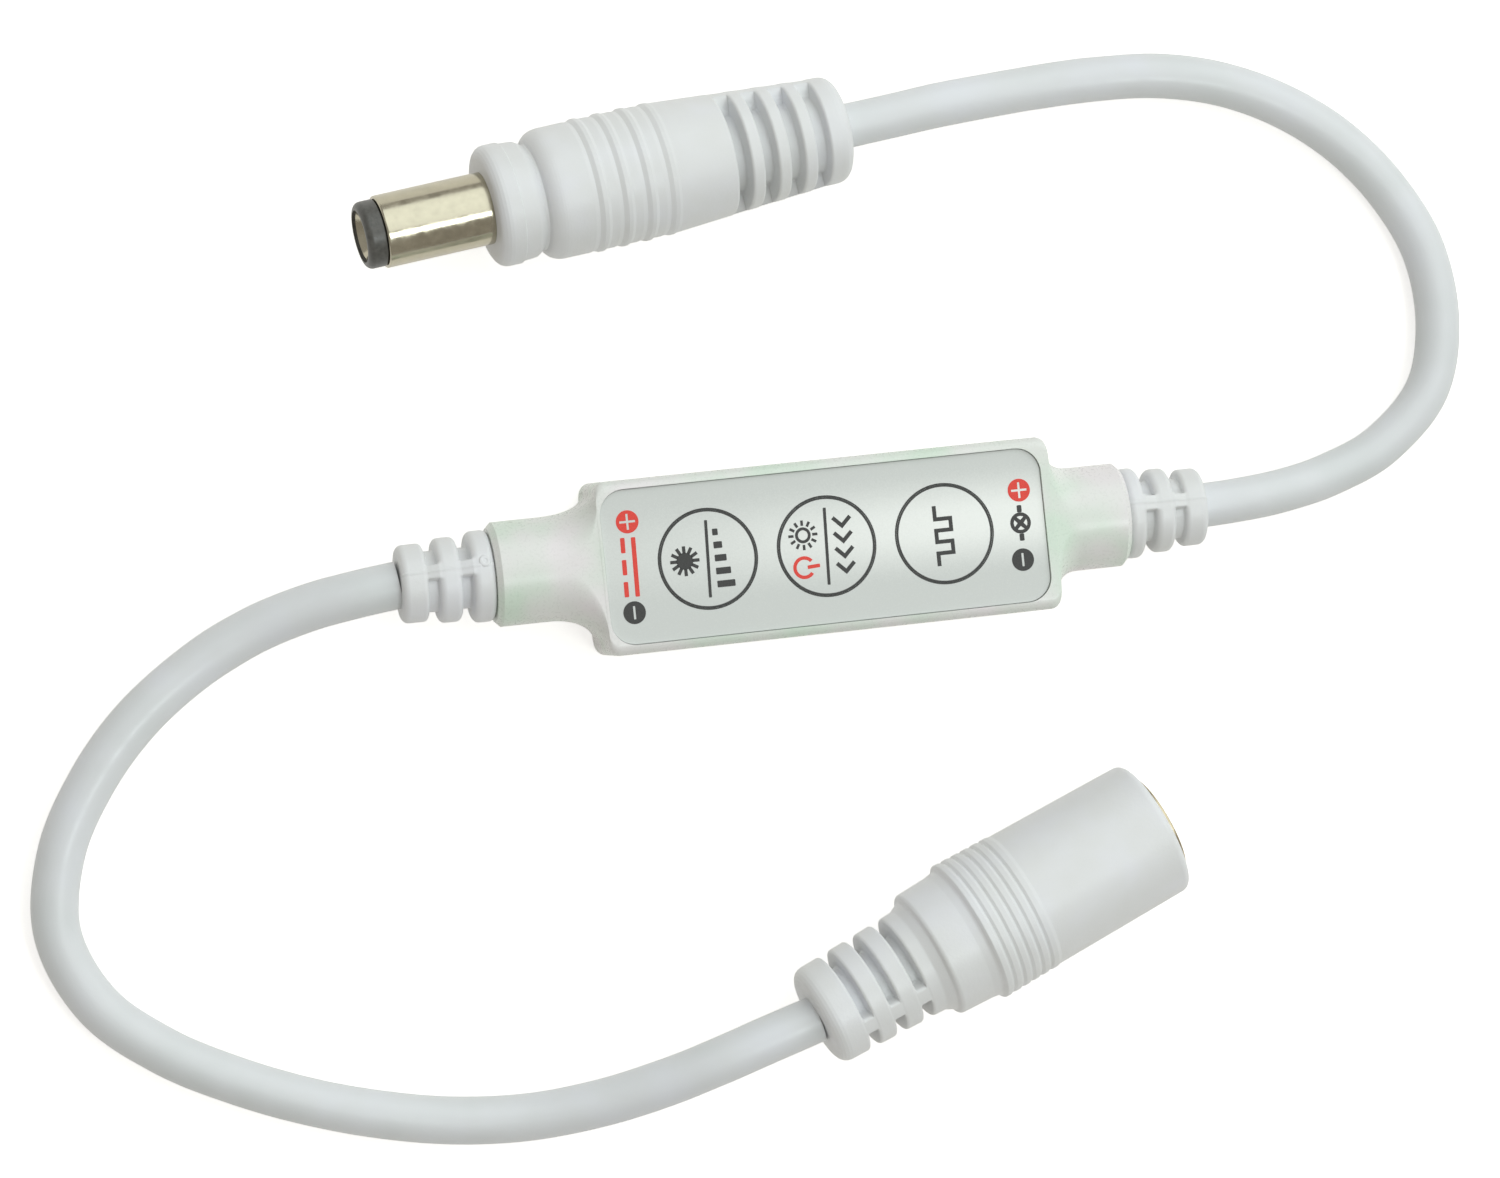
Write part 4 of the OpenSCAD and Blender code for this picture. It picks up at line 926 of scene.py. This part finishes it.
def stroke(points, width):
    """Outline of a bent line of even width."""
    points = [Vector(p) for p in points]
    left, right = [], []
    for i, point in enumerate(points):
        before = (point - points[i - 1] if i else points[1] - points[0]).normalized()
        after = (points[i + 1] - point if i < len(points) - 1 else before).normalized()
        middle = (before + after).normalized()
        reach = Vector((-middle.y, middle.x)) * width / 2 / middle.dot(before)
        left.append(tuple(point + reach))
        right.append(tuple(point - reach))
    return left + right[::-1]


def rays_tree():
    """Short rays set round a centre."""
    graph, given = new_tree("sun_rays", [
        ("Source", "Geometry"), ("Count", "Int"), ("Inner radius", "Float"), ("Outer radius", "Float"),
        ("Width", "Float"), ("Thickness", "Float"), ("Material", "Material")])
    middle = graph.times(graph.plus(given["Inner radius"], given["Outer radius"]), 0.5)
    spots = graph.node("GeometryNodeMeshCircle", {"Vertices": given["Count"], "Radius": middle})
    length = graph.minus(given["Outer radius"], given["Inner radius"])
    size = graph.node("ShaderNodeCombineXYZ", {"X": length, "Y": given["Width"], "Z": given["Thickness"]})
    ray = graph.node("GeometryNodeMeshCube", {"Size": size.outputs[0]})
    step = graph.math("DIVIDE", 2 * math.pi, given["Count"])
    turn = graph.times(graph.node("GeometryNodeInputIndex").outputs[0], step)
    facing = graph.node("ShaderNodeCombineXYZ", {"Z": turn})
    set_out = graph.node("GeometryNodeInstanceOnPoints", {
        "Points": spots.outputs[0], "Instance": ray.outputs["Mesh"], "Rotation": facing.outputs[0]})
    return end_tree(graph, set_out.outputs[0], given["Material"])


RAYS_TREE = rays_tree()


def add_rays(name, x, y, inner, outer, width, low):
    made = grow(name, bpy.data.meshes.new(name + "_spot"), RAYS_TREE, {
        "Count": 12, "Inner radius": inner * MM, "Outer radius": outer * MM, "Width": width * MM,
        "Thickness": INK_T * MM, "Material": BLACK_INK},
        Matrix.Translation((x * MM, y * MM, (low + INK_T / 2) * MM)))
    made.data.shade_flat()
    return made


POLE_R = 0.865


def plus_sign(x, y, half=0.6, thin=0.085):
    """A round pole mark with a clear plus in it."""
    arm = [(half, thin), (half, -thin), (thin, -thin)]
    cross = []
    for k in range(4):
        a = math.radians(-90 * k)
        cross += [(x + px * math.cos(a) - py * math.sin(a), y + px * math.sin(a) + py * math.cos(a))
                  for px, py in arm]
    return [circle(x, y, POLE_R, 48), cross]


def minus_sign(x, y, half=0.5, width=0.17):
    """A round pole mark with a clear minus in it, which stands upright on the case."""
    return [circle(x, y, POLE_R - 0.01, 48), bar((x, y - half), (x, y + half), width, 0.03)]


def current_sign(x, y, lean, width=0.34):
    """The sign for direct current: a line beside a row of three dashes."""
    spans = [(0.42, 2.2, -2.25)] + [(-0.4, 1.65 * k + 0.57, 1.65 * k - 0.57) for k in (1, 0, -1)]
    return [bar((x + off + top * lean, y + top), (x + off + low * lean, y + low), width)
            for off, top, low in spans]


def lamp_sign(x, y, r=0.8, line=0.27, lead=1.35, lead_w=0.36):
    """The sign for a lamp: a crossed circle between two short lines."""
    made = [circle(x, y, r, 48)]
    made += [bar((x, y + side * (r + 0.01)), (x, y + side * lead), lead_w) for side in (1, -1)]
    for k in range(4):
        middle = math.radians(90 * k)
        wedge = [polar(x, y, 0.23, middle)]
        for j in range(9):
            a = middle + math.radians(-30 + 60 * j / 8)
            wedge.append(polar(x, y, r - line, a))
        made.append(wedge)
    return made


def add_overlay():
    """The film with its three round gaps, and what is printed on it beside the keys."""
    holes = [circle(x, 0, KEY_HOLE_R, 128) for x in KEY_X]
    outlines = [overlay_outline(OVERLAY_SPREAD)] + holes
    # The film's material carries a painted highlight, a pale band along it
    film = plate("overlay_film", outlines, FACE_H, FILM_TOP, FILM_WITH_PAINTED_HIGHLIGHT, 0.03)
    ride_housing(film, "overlay_film", "keypad_label")
    low, high = FILM_TOP, FILM_TOP + INK_T
    black = lamp_sign(16.08, 0.2) + minus_sign(-14.095, -3.427) + minus_sign(15.977, -2.583)
    red = current_sign(-14.1, 0, 0.021) + plus_sign(-13.95, 3.388) + plus_sign(16.198, 2.679)
    for x in KEY_X:
        black += [circle(x, 0, KEY_HOLE_R + RING_OUTSIDE, 128), circle(x, 0, KEY_HOLE_R + INK_INSET, 128)]
    ride_housing(plate("face_marks_black", black, low, high, BLACK_INK), "overlay_film")
    ride_housing(plate("face_marks_red", red, low, high, RED_INK), "overlay_film")


def key_line(x):
    """The line that parts the two signs of a key."""
    return bar((x + 0.11, 2.9), (x - 0.11, -2.9), 0.23)


def brighter_sign(x):
    """Five rising bars and a filled sun, on either side of a line."""
    bars = []
    for k in range(5):
        y = 1.95 - 0.98 * k
        bars.append(bar((x + 0.52, y), (x + 0.94 + 0.24 * k, y), 0.5, 0.06))
    sun = (x - 1.77, 0)
    return bars + [key_line(x), circle(*sun, 0.63, 48)], [(*sun, 0.6, 1.12, 0.25)]


def faster_sign(x):
    """Four arrow heads and an open sun, on either side of a line."""
    heads = [stroke([(x + 0.66, y + 0.36), (x + 1.33, y - 0.3), (x + 2.0, y + 0.36)], 0.3)
             for y in (1.72, 0.57, -0.58, -1.73)]
    sun = (x - 1.73, 1.0)
    return heads + [key_line(x), circle(*sun, 0.6, 48), circle(*sun, 0.38, 48)], [(*sun, 0.72, 1.12, 0.2)]


def change_sign(x):
    """A square wave that runs down the key. It has no sun, as the others have."""
    points = []
    for k in range(5):
        across = x - 0.62 if k % 2 == 0 else x + 0.56
        points += [(across, 2.0 - 0.86 * k), (across, 2.0 - 0.86 * (k + 1))]
    points[0] = (points[0][0], 2.15)
    points[-1] = (points[-1][0], -2.4)
    return [stroke(points, 0.3)], []


def standby_sign(x, y):
    """A broken ring with a line through its gap."""
    arc = [math.radians(38 + 284 * j / 32) for j in range(33)]
    ring = [polar(x, y, 0.86, a) for a in arc] + [polar(x, y, 0.6, a) for a in reversed(arc)]
    return [ring, bar((x + 0.25, y), (x + 1.2, y + 0.06), 0.27)]


def add_key(i):
    """A pressing area of the film, with the ring and the signs that are printed on it. Each sign
    function gives its outlines and the suns whose rays are added to them."""
    name, x = KEY_NAMES[i], KEY_X[i]
    # The key face shares the film's material, with its painted highlight
    disc = plate(name + "_key_face", [circle(x, 0, KEY_R, 128)], FACE_H, FILM_TOP, FILM_WITH_PAINTED_HIGHLIGHT, 0.02)
    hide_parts(name + "_key_disc")
    low, high = FILM_TOP, FILM_TOP + INK_T
    signs, suns = (brighter_sign, faster_sign, change_sign)[i](x)
    black = [circle(x, 0, KEY_R - INK_INSET, 128), circle(x, 0, KEY_R - RING_INSIDE, 128)] + signs
    pieces = [disc, plate(name + "_key_print", black, low, high, BLACK_INK)]
    for sun in suns:
        pieces.append(add_rays(name + "_sun_rays", *sun, low))
    if i == 1:
        pieces.append(plate(name + "_power_sign", standby_sign(x - 1.86, -1.43), low, high, RED_INK))
    for piece in pieces:
        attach(piece, name + "_key")


add_case()
add_overlay()
for key in range(len(KEY_NAMES)):
    add_key(key)


# Hidden pieces keep their CAD shape

for key_name in KEY_NAMES:
    dress(key_name + "_switch_base", BLACK_PLASTIC)
    dress(key_name + "_switch_cover", SPRING_STEEL)
    dress(key_name + "_switch_dome", SPRING_STEEL)
    dress(key_name + "_switch_plunger", GREY_PLASTIC)
INSIDE_FINISHES = {
    "circuit_board": LAMINATE, "controller_chip": CHIP_BLACK, "power_transistors": CHIP_BLACK,
    "voltage_regulator": CHIP_BLACK, "capacitors": CERAMIC, "resistors": CHIP_BLACK,
    "component_leads": TINNED, "solder_joints": TINNED,
    "supply_core_positive": RED_CORE, "supply_core_negative": BLACK_CORE,
    "output_core_positive": RED_CORE, "output_core_negative": BLACK_CORE,
    "socket_insulator": BLACK_PLASTIC, "socket_centre_pin": SOCKET_NICKEL,
    "socket_spring_contact": SOCKET_NICKEL}
for node_name, finish in INSIDE_FINISHES.items():
    dress(node_name, finish)


# Floor and light. Places and sizes of the floor and the lamps are in metres

ROOM_FRONT, ROOM_BACK = (0.38, 0.36, 0.33, 1), (0.46, 0.45, 0.43, 1)
FLOOR_DROP, FLOOR_HALF = 0.00002, 1.5


def add_floor():
    """A plain pale floor that shows white to the camera and keeps the object's shadow."""
    bm = bmesh.new()
    bmesh.ops.create_grid(bm, x_segments=1, y_segments=1, size=FLOOR_HALF)
    mesh = bpy.data.meshes.new("floor")
    bm.to_mesh(mesh)
    bm.free()
    mesh.transform(Matrix.Translation((0, 0, -FLOOR_DROP)))
    material, graph, shader = new_material("pale_floor", Roughness=0.9)
    shader.inputs["Base Color"].default_value = (0.78, 0.76, 0.73, 1)
    shader.inputs["Specular IOR Level"].default_value = 0.1
    path = graph.node("ShaderNodeLightPath").outputs
    shown = graph.times(path["Is Camera Ray"], 0.62)
    shown = graph.plus(shown, graph.times(path["Is Glossy Ray"], 0.3))
    graph.put(shader.inputs["Emission Color"], (1, 1, 1, 1))
    graph.put(shader.inputs["Emission Strength"], shown)
    mesh.materials.append(material)
    add_object("floor", mesh)


def add_lamp(name, place, size, power, tint):
    """A flat lamp that faces the middle of the part."""
    lamp = bpy.data.lights.new(name, "AREA")
    lamp.shape = "RECTANGLE"
    lamp.size = size
    lamp.size_y = size
    lamp.energy = power
    lamp.color = tint
    made = add_object(name, lamp)
    made.location = place
    made.rotation_mode = "QUATERNION"
    made.rotation_quaternion = (-Vector(place)).to_track_quat("-Z", "Y")


def add_world():
    """An even pale room, a little brighter above and behind the object than in front of it."""
    world = bpy.data.worlds.new("pale_room")
    scene.world = world
    world.use_nodes = True
    graph = Graph(world.node_tree)
    ground = world.node_tree.nodes["Background"]
    toward = graph.node("ShaderNodeTexCoord").outputs["Generated"]
    back = graph.node("ShaderNodeSeparateXYZ", {"Vector": toward}).outputs["Y"]
    room = ramp(graph, graph.smooth_step(back, -0.75, 0.35), [(0.0, ROOM_FRONT), (1.0, ROOM_BACK)])
    path = graph.node("ShaderNodeLightPath").outputs
    seen = graph.math("MAXIMUM", path["Is Camera Ray"], path["Is Transmission Ray"])
    # The mix node has a set of sockets for each kind of data: 6, 7 and output 2 are its colours
    shown = graph.node("ShaderNodeMix", {0: seen, 6: room, 7: (1, 1, 1, 1)}, data_type="RGBA")
    graph.put(ground.inputs["Color"], shown.outputs[2])
    ground.inputs["Strength"].default_value = 1.0


add_floor()
add_world()
add_lamp("overhead_lamp", (0.136, -0.17, 0.55), 0.12, 0.55, (0.92, 1.0, 1.0))
add_lamp("side_softbox", (0.34, 0.40, 0.60), 1.1, 4.6, (0.93, 1.0, 1.0))
scene.view_settings.view_transform = "Standard"
